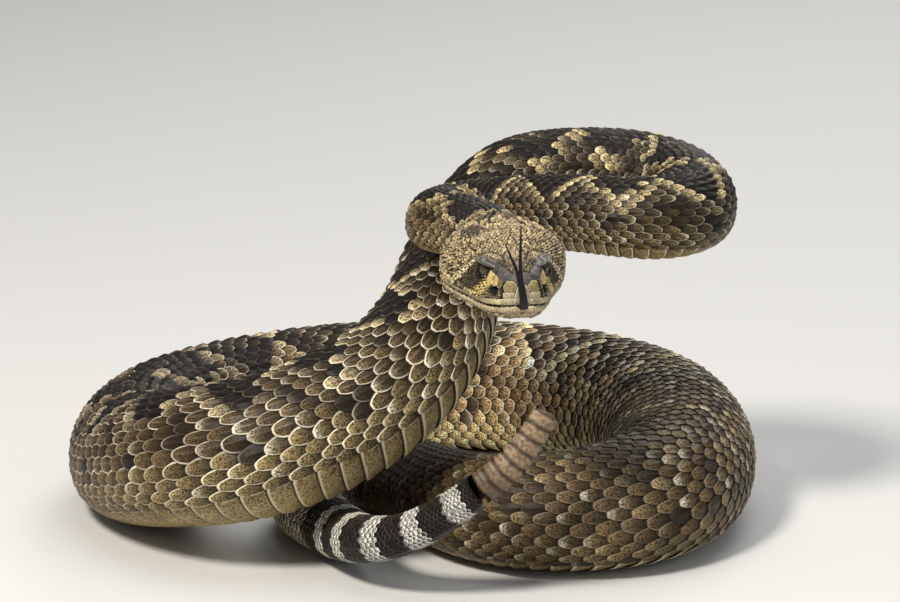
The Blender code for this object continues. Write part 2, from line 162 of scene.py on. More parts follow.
# Head: distances back from the snout tip with half width and heights there
HALF_WIDTH = ((0, 4.4), (1.2, 6.5), (3, 7.5), (6, 8.5), (8.5, 10.0), (11.5, 10.9), (18, 13.2), (24, 15.0),
              (30, 17.8), (36, 20.8), (42, 22.4), (47, 21.8), (52, 18.4), (56, 14.2), (58, 12.6), (60, 12.4))
CROWN = ((0, 3.2), (1.2, 5.8), (3, 7.1), (6, 7.9), (11.5, 8.6), (18, 9.3), (24, 10.2), (30, 11.4),
         (38, 12.8), (45, 13.8), (51, 14.3), (58, 14.7), (60, 14.8))
WIDEST = ((0, -2.6), (5, -4.2), (11.5, -5.4), (20, -5.4), (30, -4.2), (38, -2.4), (44, -0.6), (50, 1.2),
          (58, 3.0))
LIP = ((-8, -3.6), (0, -3.6), (5, -5.0), (11.5, -6.2), (20, -6.8), (30, -6.4), (38, -5.4), (46, -4.0))
THROAT = ((0, -5.4), (1.2, -7.4), (3, -8.9), (8, -10.2), (15, -11.2), (25, -11.9), (38, -12.0), (46, -11.0),
          (52, -9.0), (58, -7.3))
SQUARE = ((0, 2.6), (6, 3.1), (12, 3.5), (20, 3.4), (28, 3.0), (40, 2.7), (50, 2.4), (58, 2.0))
HEAD_SIDES = 192
HEAD_COAT = 0.22
GOLDEN = 0.618
CHEEK_SHARE = 0.22
FACE_MIDDLE = -1.2
JAW_INSET = 0.6
JAW_FADE = 8.0
THROAT_ROUND = 0.85
JAW_REAR = 47.0
MOUTH_CORNER = 38.0
LIP_PLATE = 2.7
LIP_START = 1.0
UPPER_LIP = ((0, 2.9), (8, 2.9), (20, 1.9), (40, 1.6))

# Features of the head: across, back from the snout, up
EYE = np.array((9.6, 18.3, 4.9))
EYE_RADIUS = 2.8
EYE_TILT = math.radians(18)
EYE_FACE = np.array((11.4, 18.0, 4.6))
BROW = np.array((8.9, 17.2, 8.45))
BROW_TURN = math.radians(19)
CANTHUS = np.array((6.8, 9.0, 7.4))
LOREAL = np.array((9.8, 9.6, 2.8))
CHEEK = np.array((20.0, 38.0, 3.0))
PIT = np.array((9.1, 6.6, 0.3))
PIT_REACH = (1.3, 2.3, 1.0)
NOSTRIL = np.array((7.2, 2.6, 3.1))
SLOT = (1.5, 0.95, 2.1)
BROW_REACH = (4.1, 6.8, 0.85)
PLATE_SPREAD = 1.15
UPPER_STRIPE = ((21, 8.4), (24, 7.2), (27.5, 2.6), (34, -3.5))
LOWER_STRIPE = ((9.5, 4.6), (12.5, 1.8), (15.5, -1.4), (20, -4))
SWELLS = ((BROW, (3.6, 6.2, 2.0), 0.7), (CANTHUS, (2.2, 6.0, 1.3), 0.5), (LOREAL, (3.0, 3.2, 2.4), -0.55),
          (CHEEK, (7.0, 8.0, 4.5), 0.5))

HEAD_TAN = np.array((0.430, 0.330, 0.185))
HEAD_GREY = np.array((0.270, 0.225, 0.185))
HEAD_DARK = np.array((0.028, 0.022, 0.017))
HEAD_PALE = np.array((0.640, 0.545, 0.320))
HEAD_YELLOW = np.array((0.640, 0.470, 0.175))
# Cream of the jaws and chin, darkened partly as painted shade under the head.
JAW_CREAM_IN_PAINTED_SHADE = np.array((0.480, 0.390, 0.240))
PLATE_GREY = np.array((0.092, 0.083, 0.080))
BROW_GREY = np.array((0.190, 0.172, 0.150))
PLATE_OLIVE = np.array((0.270, 0.210, 0.090))
PLATE_YELLOW = np.array((0.512, 0.376, 0.140))
PLATE_BROWN = np.array((0.160, 0.112, 0.055))
PLATE_PALE = np.array((0.330, 0.280, 0.175))
PLATE_LIP = np.array((0.430, 0.370, 0.240))
CHIN_BROWN = np.array((0.200, 0.120, 0.060))
CHIN_CREAM = np.array((0.400, 0.300, 0.170))
# Iris brown made very dark: painted shade of the brow over the eye.
IRIS_IN_PAINTED_SHADE = np.array((0.070, 0.045, 0.020))

# Face plates: view they are laid from, corners there, thickness and colour
FACE_PLATES = (
    ("front", ((-2.6, -3.3), (2.6, -3.3), (3.0, -2.2), (2.4, 0.6), (1.5, 3.5), (-1.5, 3.5), (-2.4, 0.6),
               (-3.0, -2.2)), 0.40, PLATE_PALE),
    ("front", ((3.2, -3.3), (6.6, -3.7), (6.7, -1.3), (3.2, -0.9)), 0.35, PLATE_LIP),
    ("front", ((3.1, -0.6), (6.5, -1.0), (6.5, 0.8), (2.9, 1.1)), 0.35, PLATE_LIP),
    ("front", ((2.8, 1.4), (6.0, 1.1), (6.2, 2.6), (5.3, 4.6), (3.4, 5.0), (2.1, 3.6)), 0.40, PLATE_OLIVE),
    ("side", ((3.8, 1.9), (5.8, 1.8), (6.5, 2.5), (6.3, 4.7), (3.6, 5.2), (4.1, 3.2)), 0.35, PLATE_BROWN),
    ("side", ((6.8, 2.3), (8.8, 1.6), (9.4, 3.1), (9.2, 5.2), (6.7, 5.1), (6.9, 3.6)), 0.30, PLATE_YELLOW),
    ("side", ((9.4, 1.1), (11.7, 0.9), (13.0, 1.9), (13.2, 3.4), (12.8, 5.9), (9.5, 5.6), (9.8, 3.0)),
     0.40, HEAD_YELLOW),
    ("side", ((9.2, 5.8), (13.6, 6.3), (13.4, 7.4), (9.0, 7.2), (6.4, 6.4), (6.5, 5.4)), 0.25, PLATE_GREY),
    ("front", ((0.15, 3.8), (1.7, 3.8), (3.0, 4.8), (2.9, 6.3), (0.15, 6.2)), 0.30, PLATE_GREY),
    ("front", ((3.5, 5.3), (5.5, 4.9), (6.4, 3.9), (7.1, 4.8), (6.2, 6.2), (3.2, 6.6)), 0.30, PLATE_GREY),
    ("top", ((0.15, 2.2), (2.6, 2.0), (3.0, 4.4), (0.15, 4.8)), 0.30, PLATE_GREY),
    ("top", ((2.9, 2.0), (5.0, 2.4), (6.6, 5.0), (3.4, 5.2), (3.2, 3.5)), 0.30, PLATE_GREY),
    ("top", ((3.7, 5.4), (7.2, 5.2), (8.0, 8.8), (5.0, 9.2)), 0.30, PLATE_GREY),
    ("top", ((5.2, 9.4), (8.2, 9.0), (9.2, 12.2), (6.2, 13.0)), 0.30, PLATE_GREY),
    ("front", ((-1.8, -4.0), (1.8, -4.0), (1.1, -5.8), (-1.1, -5.8)), 0.30, JAW_CREAM_IN_PAINTED_SHADE),
    ("front", ((2.1, -4.0), (4.2, -4.1), (4.3, -6.0), (1.4, -5.9)), 0.30, JAW_CREAM_IN_PAINTED_SHADE),
    ("front", ((4.5, -4.1), (6.7, -4.4), (6.6, -6.2), (4.6, -6.1)), 0.30, JAW_CREAM_IN_PAINTED_SHADE),
    ("front", ((-1.0, -5.9), (1.0, -5.9), (1.0, -7.1), (-1.0, -7.1)), 0.25, CHIN_BROWN),
    ("front", ((1.2, -6.0), (4.4, -6.2), (3.5, -7.3), (1.2, -7.2)), 0.25, CHIN_CREAM),
    ("low", ((0.2, 1.3), (2.6, 1.3), (3.6, 3.0), (3.6, 8.5), (1.8, 11.0), (0.2, 10.4)), 0.30, PLATE_PALE),
    ("low", ((3.0, 1.4), (5.6, 2.4), (6.4, 5.2), (4.0, 5.6), (3.9, 3.2)), 0.30, PLATE_PALE),
)

# Tongue: stem and tines in the head's own frame, with half width and thickness at root and tip
TONGUE_STEM = ((0, 2.7, -3.95), (0, -1.5, -4.1), (-0.3, -5, -3.2), (-0.9, -7.6, 0.2), (-1.8, -8.6, 4.5),
               (-2.2, -8.5, 7.5))
TONGUE_TINES = (
    ((-1.4, -8.4, 3.0), (-1.9, -8.5, 7.0), (-2.4, -8.2, 12.0), (-2.3, -7.4, 17.5), (-2.0, -6.4, 23),
     (-1.8, -5.6, 27.4)),
    ((-1.9, -8.4, 3.0), (-2.7, -8.5, 7.0), (-3.6, -8.3, 11.8), (-5.2, -8.0, 15.4), (-6.6, -7.7, 18.6),
     (-7.7, -7.4, 21.6)),
)
TONGUE_COLOUR = np.array((0.006, 0.005, 0.010))
TONGUE_WIDE = (1.85, 1.2)
TONGUE_THICK = (0.75, 0.28)
TINE_WIDE = (0.88, 0.24)
TINE_THICK = (0.46, 0.24)
TONGUE_SIDES = 20
TONGUE_STEP = 0.3

# Rattle
RATTLE_SEGMENTS = 7
RATTLE_TALL = 6.4
RATTLE_WIDE = 3.9
RATTLE_TAPER = 0.82
RATTLE_PALE = np.array((0.300, 0.205, 0.120))
RATTLE_DARK = np.array((0.030, 0.017, 0.010))

# Studio: floor, world and lights with their place, aim, power, size and colour
FLOOR_COLOUR = (0.62, 0.61, 0.59, 1)
WORLD_COLOUR = (0.80, 0.86, 0.95, 1)
WORLD_STRENGTH = 0.24
BUMP_DEPTH = 0.0002
LIGHTS = (
    ("key", (-0.55, -0.95, 1.20), (0, -0.02, 0.06), 29, 0.28, (1.0, 0.95, 0.87)),
    ("sky", (0.25, 0.05, 1.5), (0, 0, 0.06), 9, 1.2, (0.97, 0.98, 1.0)),
    ("fill", (1.1, -0.9, 0.7), (0, 0, 0.06), 5.0, 1.2, (0.9, 0.95, 1.0)),
    ("rim", (0.5, 1.2, 1.0), (0, 0, 0.08), 7, 0.8, (1.0, 0.97, 0.92)),
)


def spline(points, step=0.5):
    """Cubic B-spline that keeps its end points, sampled evenly along its length."""
    p = np.array(points, float)
    p = np.vstack([2 * p[0] - p[1], p, 2 * p[-1] - p[-2]])
    t = np.linspace(0, 1, 24, endpoint=False)[:, None]
    basis = ((1 - t) ** 3, 3 * t ** 3 - 6 * t ** 2 + 4, -3 * t ** 3 + 3 * t ** 2 + 3 * t + 1, t ** 3)
    spans = [sum(b * p[i + k] for k, b in enumerate(basis)) / 6 for i in range(len(p) - 3)]
    curve = np.vstack(spans + [p[-2:-1]])
    far = np.concatenate([[0], np.cumsum(np.linalg.norm(np.diff(curve, axis=0), axis=1))])
    at = np.arange(0, far[-1], step)
    return at, np.stack([np.interp(at, far, curve[:, k]) for k in range(3)], -1)


def ease(values, width):
    """Blend a row of values with its neighbours."""
    reach = int(3 * width)
    weights = np.exp(-0.5 * (np.arange(-reach, reach + 1) / width) ** 2)
    return np.convolve(np.pad(values, reach, mode="edge"), weights / weights.sum(), "valid")


def step_up(x, low, high):
    """Smooth rise from 0 at low to 1 at high."""
    t = np.clip((x - low) / (high - low), 0, 1)
    return t * t * (3 - 2 * t)


def mix(a, b, share):
    share = np.asarray(share)[..., None]
    return a * (1 - share) + b * share


def unit(rows):
    return rows / np.linalg.norm(rows, axis=-1, keepdims=True)


def one_side(spots):
    """Points of the head moved over to its + side."""
    return np.concatenate([np.abs(spots[..., :1]), spots[..., 1:]], -1)


def to_world(points):
    points = np.asarray(points, float) - (CENTRE[0], CENTRE[1], 0)
    points[..., 2] = np.maximum(points[..., 2], 0)
    return points * MM


class Body:
    """Middle line of the snake with its radius and the way its back faces."""

    def __init__(self):
        self.at, self.points = spline(ROUTE)
        step = self.at[1]
        width = GIRTH_BLEND / step
        rows = np.array(GIRTH)
        self.radius = ease(np.interp(self.at, rows[:, 0], rows[:, 1]), width)
        self.along = unit(np.gradient(self.points, self.at, axis=0))
        hints = np.array([[far, *way] for far, way in BACK], float)
        backs = np.stack([ease(np.interp(self.at, hints[:, 0], hints[:, k]), width) for k in (1, 2, 3)], -1)
        backs -= self.along * np.sum(backs * self.along, axis=1)[:, None]
        self.back = unit(backs)
        self.side = np.cross(self.back, self.along)
        self.end = float(self.at[-1])
        pitch = PITCH * self.radius
        self.count = np.concatenate([[0], np.cumsum(0.5 * (1 / pitch[1:] + 1 / pitch[:-1]) * step)])

    def pick(self, rows, far):
        return np.stack([np.interp(far, self.at, rows[:, k]) for k in range(3)], -1)

    def girth(self, far):
        return np.interp(far, self.at, self.radius)

    def surface(self, far, angle, height):
        """Points at distances along, angles from the back and heights over the solids' surface."""
        far, angle, height = np.broadcast_arrays(far, angle, height)
        radius = self.girth(far)
        across, up = np.sin(angle), np.cos(angle)
        low = -BELLY * np.abs(up) ** BELLY_FLATNESS
        up = np.where(up < 0, low, up)
        out = self.pick(self.side, far) * (across * (radius * WIDTH + height))[..., None]
        out = out + self.pick(self.back, far) * (up * (radius + height))[..., None]
        return self.pick(self.points, far) + out


def back_coil_share(far):
    """1 along the back of the coil, which lies in the raised part's shadow."""
    return step_up(far, *BACK_COIL) * (1 - step_up(far, *BACK_COIL_END))


def tail_rings(far, spread, reach, strength):
    """Pale rings round the tail on black."""
    ring = (TAIL_WHITE - far) / TAIL_RING
    ring = np.abs(ring - np.round(ring)) + spread
    return mix(ASH, BLACK, strength * step_up(ring, *reach))


def markings(far, row, noise):
    """Colour of a scale at a distance along and rows away from the middle of the back, with painted light on
    the neck and on the back coil.
    """
    start = np.arange(0, 1300.0)
    widths = DIAMOND_NECK + (DIAMOND_BODY - DIAMOND_NECK) * step_up(start, *DIAMOND_GROWTH)
    spacing = np.interp(far, start, widths)
    phase = np.interp(far, start, np.concatenate([[0], np.cumsum(1 / widths)[:-1]])) + DIAMOND_START
    along, out = 2 * np.abs(phase - np.round(phase)), np.abs(row)
    wave = 0.05 * np.sin(2.3 * np.round(phase) + 1.7 * row) + 0.04 * np.sin(6.3 * far / spacing + 2.9 * row)
    worn = step_up(far, *WORN)
    metric = (along ** 1.25 + (out / DIAMOND_ROWS) ** 1.25) ** 0.8 + (0.045 + 0.035 * worn) * noise + wave
    colour = mix(GROUND, GROUND_PALE, np.clip(0.15 + 0.55 * step_up(out, 4, 12) + 0.25 * noise, 0, 1))
    # Darker ahead of the worn stretch. Right behind the head the colour is much lighter: partly paler
    # scales, partly painted light on the nape.
    colour = colour * (0.49 + 0.51 * worn + 1.20 * (1 - step_up(far, *NECK_LIGHTENED)))[..., None]
    colour = mix(colour, BELLY_COLOUR, step_up(out, 8.5, 12) * (0.35 + 0.35 * worn))
    edge = step_up(metric, 0.93, 0.99) * (1 - step_up(metric - 0.07 * (1 - worn), 1.12, 1.18))
    edge = edge * np.clip(1.0 - 0.40 * worn + 0.40 * noise, 0, 1)
    colour = mix(colour, mix(CREAM, CREAM_WORN, worn), edge)
    colour = mix(colour, DARK, 1 - step_up(metric, 0.92, 0.97))
    colour = mix(colour, BROWN, (1 - step_up(metric, 0.42, 0.60)) * np.clip(0.7 + 0.6 * noise, 0, 1))
    for place, middle, long, wide, strength, core, limit in BLOTCHES:
        blotch = np.hypot(np.abs(place - along) * spacing / 2 / long, (out - middle) / wide) + 0.2 * noise
        strength = strength * (1 - step_up(blotch, core, 1.0)) * step_up(limit - noise, 0, 0.5)
        colour = mix(colour, DARK, strength)
    back_coil = back_coil_share(far)
    faded = 0.7 * step_up(far, *FRONT_FADE) * (1 - step_up(far, *FRONT_END)) + 0.2 * back_coil
    colour = mix(colour, mix(GROUND, GROUND_PALE, np.clip(0.55 + 0.3 * noise, 0, 1)), faded)
    colour = mix(colour, DARK, 0.8 * step_up(noise, 1.25, 1.5) * step_up(faded, 0.1, 0.3))
    # The back coil is painted lighter, most where its colour is light: painted light in place of the light
    # the raised part's shadow takes from it. The front coil is made a little lighter too.
    light = step_up(colour.max(axis=-1), 0.02, 0.09)
    colour = colour * (1 + back_coil * (0.7 + 1.8 * light) + 0.06 * faded)[..., None]
    return mix(colour, tail_rings(far, 0.015 * noise, (0.19, 0.22), 1), step_up(far, *TAIL_FADE))


def unwrap(share, strip, angle):
    """Place on the skin's unwrap, where strips of the body lie under one of the head."""
    turn = (np.asarray(angle) / (2 * math.pi)) % 1.0
    return np.stack(np.broadcast_arrays(share, (strip + 0.02 + 0.96 * turn) / STRIPS), -1)


def unwrap_body(far, angle, end):
    share = np.clip(np.asarray(far) / end, 0, 0.9999) * (STRIPS - 1)
    strip = np.floor(share)
    return unwrap(share - strip, strip, angle)


def unwrap_head(back, angle):
    return unwrap(0.01 + 0.95 * np.asarray(back) / 60, STRIPS - 1, angle)


def scale_uv(root, t, v):
    """Small patch of each scale at its root's place on the unwrap."""
    return root[:, None, None, :] + UV_PATCH * np.stack(np.broadcast_arrays(t - 0.5, 0.5 * v), -1)


def build_mesh(name, points, quads, uv=None, tris=(), **values):
    """Smooth mesh from grids of points: faces, a UV place for each point, and values that fit the grids."""
    mesh = bpy.data.meshes.new(name)
    shape = points.shape[:-1]
    quads = np.asarray(quads, np.int32).reshape(-1, 4)
    tris = np.asarray(tris, np.int32).reshape(-1, 3)
    mesh.vertices.add(points.size // 3)
    mesh.vertices.foreach_set("co", np.asarray(points, np.float32).ravel())
    corners = np.concatenate([quads.ravel(), tris.ravel()])
    mesh.loops.add(len(corners))
    mesh.loops.foreach_set("vertex_index", corners)
    mesh.polygons.add(len(quads) + len(tris))
    starts = np.concatenate([np.arange(len(quads)) * 4, len(quads) * 4 + np.arange(len(tris)) * 3])
    mesh.polygons.foreach_set("loop_start", starts.astype(np.int32))
    mesh.update(calc_edges=True)
    mesh.validate()
    if uv is not None:
        layer = mesh.uv_layers.new(name="OFBake")
        layer.data.foreach_set("uv", np.asarray(uv, np.float32).reshape(-1, 2)[corners].ravel())
    for key, given in values.items():
        if key == "tone":
            full = np.ones((*shape, 4), np.float32)
            full[..., :3] = given
            mesh.attributes.new(key, "FLOAT_COLOR", "POINT").data.foreach_set("color", full.ravel())
        else:
            full = np.broadcast_to(given, shape).astype(np.float32)
            mesh.attributes.new(key, "FLOAT", "POINT").data.foreach_set("value", full.ravel())
    mesh.polygons.foreach_set("use_smooth", np.ones(len(mesh.polygons), bool))
    obj = bpy.data.objects.new(name, mesh)
    bpy.context.scene.collection.objects.link(obj)
    return obj


def grid_quads(patches, rows, columns, flip=False):
    """Quads of many equal grids, each of rows by columns points."""
    base = (np.arange(rows - 1)[:, None] * columns + np.arange(columns - 1)[None, :]).ravel()
    cell = np.stack([base, base + 1, base + columns + 1, base + columns], -1)
    quads = (cell[None] + (np.arange(patches) * rows * columns)[:, None, None]).reshape(-1, 4)
    return quads[:, ::-1] if flip else quads


class Patches:
    """Separate patches of the head's points, gathered into one mesh."""

    def __init__(self):
        self.parts, self.count = [], 0

    def add(self, spots, quads, uv, tone, edge, pale):
        full = np.ones(len(spots))
        self.parts.append((spots, quads + self.count, uv, full[:, None] * tone, edge, full * pale))
        self.count += len(spots)

    def mesh(self, name, head):
        spots, quads, uv, tone, edge, pale = (np.concatenate(rows) for rows in zip(*self.parts))
        return build_mesh(name, to_world(head.place(spots)), quads, uv, tone=tone, edge=edge, pale=pale)


def dorsal_lattice(body, start, stop):
    """Centres of the dorsal scales: distance, angle, row from the middle and rows used there."""
    lattice = []
    for rows, low, high in ((ROWS, 0.0, ROWS_CHANGE), (TAIL_ROWS, ROWS_CHANGE, TAIL_END - 2)):
        low, high = max(low, start), min(high, stop)
        if low >= high:
            continue
        first, last = np.interp([low, high], body.at, body.count)
        for row in range(rows):
            offset = 0.5 * (row % 2)
            turns = np.arange(math.ceil(first - offset), last - offset) + offset
            far = np.interp(turns, body.count, body.at)
            middle = row - (rows - 1) / 2
            angle = middle * 2 * DORSAL / rows
            lattice.append(np.stack([far, np.full_like(far, angle), np.full_like(far, middle * ROWS / rows),
                                     np.full_like(far, rows)], -1))
    return np.concatenate(lattice)


def scale_outline(t):
    """Half width of a scale along its length, as a share of the widest."""
    front = 0.60 + 0.40 * np.sin(np.clip(t / 0.52, 0, 1) * math.pi / 2)
    rear = np.clip(1 - np.clip((t - 0.52) / 0.485, 0, 1) ** 1.75, 0, 1) ** 0.68
    return np.where(t < 0.52, front, np.maximum(rear, 0.06))


def scale_edge(t, v):
    """0 inside a scale and 1 at its free edge."""
    rear = np.clip((t - 0.35) / 0.65, 0, 1) ** 1.5
    return np.maximum(np.abs(v) * step_up(t, -0.2, 0.2), rear)


def dorsal_scales(body, name, start, stop, random):
    """Keeled scales of one stretch of the body as a joined mesh."""
    cells = dorsal_lattice(body, start, stop)
    ahead, behind = (body.surface(cells[:, 0] + way, cells[:, 1], 0) for way in (1, -1))
    cells = cells[np.linalg.norm(ahead - behind, axis=1) > 2 * FOLD]
    far, angle, row, rows = (cells[:, k][:, None, None] for k in range(4))
    radius = body.girth(far)
    jitter = random.normal(0, 1, (len(cells), 4))[:, :, None, None]
    t, v = SCALE_T[None, :, None], SCALE_V[None, None, :]
    if start >= COARSE_FROM:
        t, v = t[:, COARSE_T], v[..., COARSE_V]
    out = np.abs(row)
    neck = 1 - 0.10 * (1 - step_up(far, 60, 240))
    long = PITCH * radius * SCALE_LONG * (1 + 0.03 * jitter[:, 0]) * neck
    wide = (2 * DORSAL / rows * SCALE_WIDE * (1 + 0.03 * jitter[:, 1])
            * (1 + 0.14 * step_up(out, 9.5, 12)) * neck)
    turn = angle + 0.5 * wide * v * scale_outline(t) + 0.012 * jitter[:, 2] * step_up(t, 0.2, 1)
    edge = scale_edge(t, v)
    height = -1.05 + 1.45 * step_up(t, -0.1, 0.85) - 0.30 * step_up(t, 0.8, 1.0) - 0.42 * np.abs(v) ** 2.4
    keel_fade = 1 - 0.92 * step_up(out, 9, 12)
    keel = 0.34 * np.exp(-(v / 0.14) ** 2) * step_up(t, 0.15, 0.5) * (1 - step_up(t, 0.84, 0.97)) * keel_fade
    height = height + keel - 0.75 * step_up(edge, 0.93, 1.0) + 0.05 * jitter[:, 3]
    points = to_world(body.surface(far + (t - 0.6) * long, turn, height * (radius / FULL_GIRTH)))
    noise = random.normal(0, 1, len(cells))
    tone = markings(far[:, 0, 0], row[:, 0, 0], noise)
    tone = tone * np.exp(0.16 * random.normal(0, 1, (len(cells), 1)))
    pale_tip = np.clip(random.normal(-0.30, 0.7, len(cells)), 0, 1)[:, None, None]
    # Each scale is darker towards its front, where it lies under the scale ahead: partly its own pigment,
    # partly painted shade.
    base = 0.07 + 0.48 * step_up(t, 0.30, 0.52) + 0.55 * step_up(t, 0.55, 0.88)
    tone = tone[:, None, None, :] * base[..., None]
    tip = pale_tip * step_up(t, 0.62, 0.95) * (1 - step_up(far, TAIL_START - 20, TAIL_START))
    bright = step_up(tone.max(axis=-1), 0.02, 0.10)
    tone = np.clip(mix(tone, RIM, 0.75 * tip * bright), 0, 1)
    # Rims are dulled on the back coil and the front coil, and from the neck down the rise as painted shade
    # where the head's shadow falls.
    dull = 0.35 * back_coil_share(far) + 0.85 * step_up(far, *FRONT_DULL) * (1 - step_up(far, *FRONT_END))
    dull = dull + 0.55 * (1 - step_up(far, *RISE_PAINTED_SHADE))
    pale = (0.1 + 0.9 * bright) * np.clip(0.62 + 0.38 * jitter[:, 1], 0.12, 1) * (1 - dull)
    root = unwrap_body(far[:, 0, 0], angle[:, 0, 0], body.end)
    # The keel attribute marks where the material paints a highlight along each keel.
    return build_mesh(
        name, points, grid_quads(*points.shape[:3]), scale_uv(root, t, v), tone=tone, edge=edge,
        keel=np.exp(-(v / 0.2) ** 2) * keel_fade, pale=pale)


def belly_scutes(body, random):
    """Wide plates across the belly, each overlapping the next one back."""
    turns = np.arange(1, np.interp(TAIL_END - 3, body.at, body.count))
    far = np.interp(turns, body.count, body.at)[:, None, None]
    t = np.array((0, 0.35, 0.7, 0.86, 0.95, 1.0))[None, :, None]
    v = np.linspace(-1, 1, 23)[None, None, :]
    radius = body.girth(far)
    long = PITCH * radius * SCUTE_LONG
    place = far + (t - 0.6) * long + 0.16 * np.cos(v * math.pi / 2) * long
    turn = math.pi + v * (BELLY_REACH * (1 - 0.10 * np.abs(v) ** 6 * (t - 0.5)))
    edge = np.maximum(step_up(np.abs(v), 0.82, 1.0), step_up(t, 0.6, 1.0))
    height = -0.95 + 1.25 * step_up(t, 0, 0.9) - 0.5 * step_up(edge, 0.85, 1.0)
    points = to_world(body.surface(place, turn, height * (radius / FULL_GIRTH)))
    noise = random.normal(0, 1, (len(turns), 1, 1))
    lateral = 0.55 * step_up(np.abs(v), 0.55, 0.95)
    tone = mix(BELLY_COLOUR * (1 + 0.06 * noise[..., None]), GROUND_PALE, lateral)
    cloud = np.sin(7 * v + 3.1 * noise + 2 * t) * np.cos(4 * v - 5 * t + 1.7 * turns[:, None, None])
    tone = mix(tone, GROUND_PALE, 0.45 * step_up(cloud, 0.1, 0.9))
    tail = step_up(far, *TAIL_FADE)
    rings = tail_rings(far, 0, (0.16, 0.22), 0.9)
    # Each scute is darker towards its front, where it lies under the scute ahead: painted shade.
    tone = mix(tone * (0.72 + 0.28 * step_up(t, 0.3, 0.8))[..., None], rings, tail)
    root = unwrap_body(far[:, 0, 0], math.pi, body.end)
    return build_mesh("belly_scutes", points, grid_quads(*points.shape[:3]), scale_uv(root, t, v),
                      tone=tone, edge=edge, pale=1 - tail)


def brow_ring(across, back):
    """Place on the brow plate: outward, backward, and 1 on its outline, less inside it and more outside."""
    side, back = across - BROW[0], back - BROW[1]
    run = (side * math.sin(BROW_TURN) + back * math.cos(BROW_TURN)) / BROW_REACH[1]
    out = (side * math.cos(BROW_TURN) - back * math.sin(BROW_TURN)) / BROW_REACH[0] / brow_narrow(run)
    return out, run, np.hypot(out, run)


def brow_narrow(run):
    """Width of the brow plate towards its front end."""
    return 1 - 0.30 * np.clip(-run, 0, 1) ** 2


def brow_height(out, run, flat):
    """Height of the brow plate's upper face over its middle."""
    depth = np.sqrt(np.clip(1 - np.clip(flat, 0, 1) ** 3.3, 0, 1))
    return depth, depth * BROW_REACH[2] + 0.20 * out - 0.55 * (1 - run) * flat


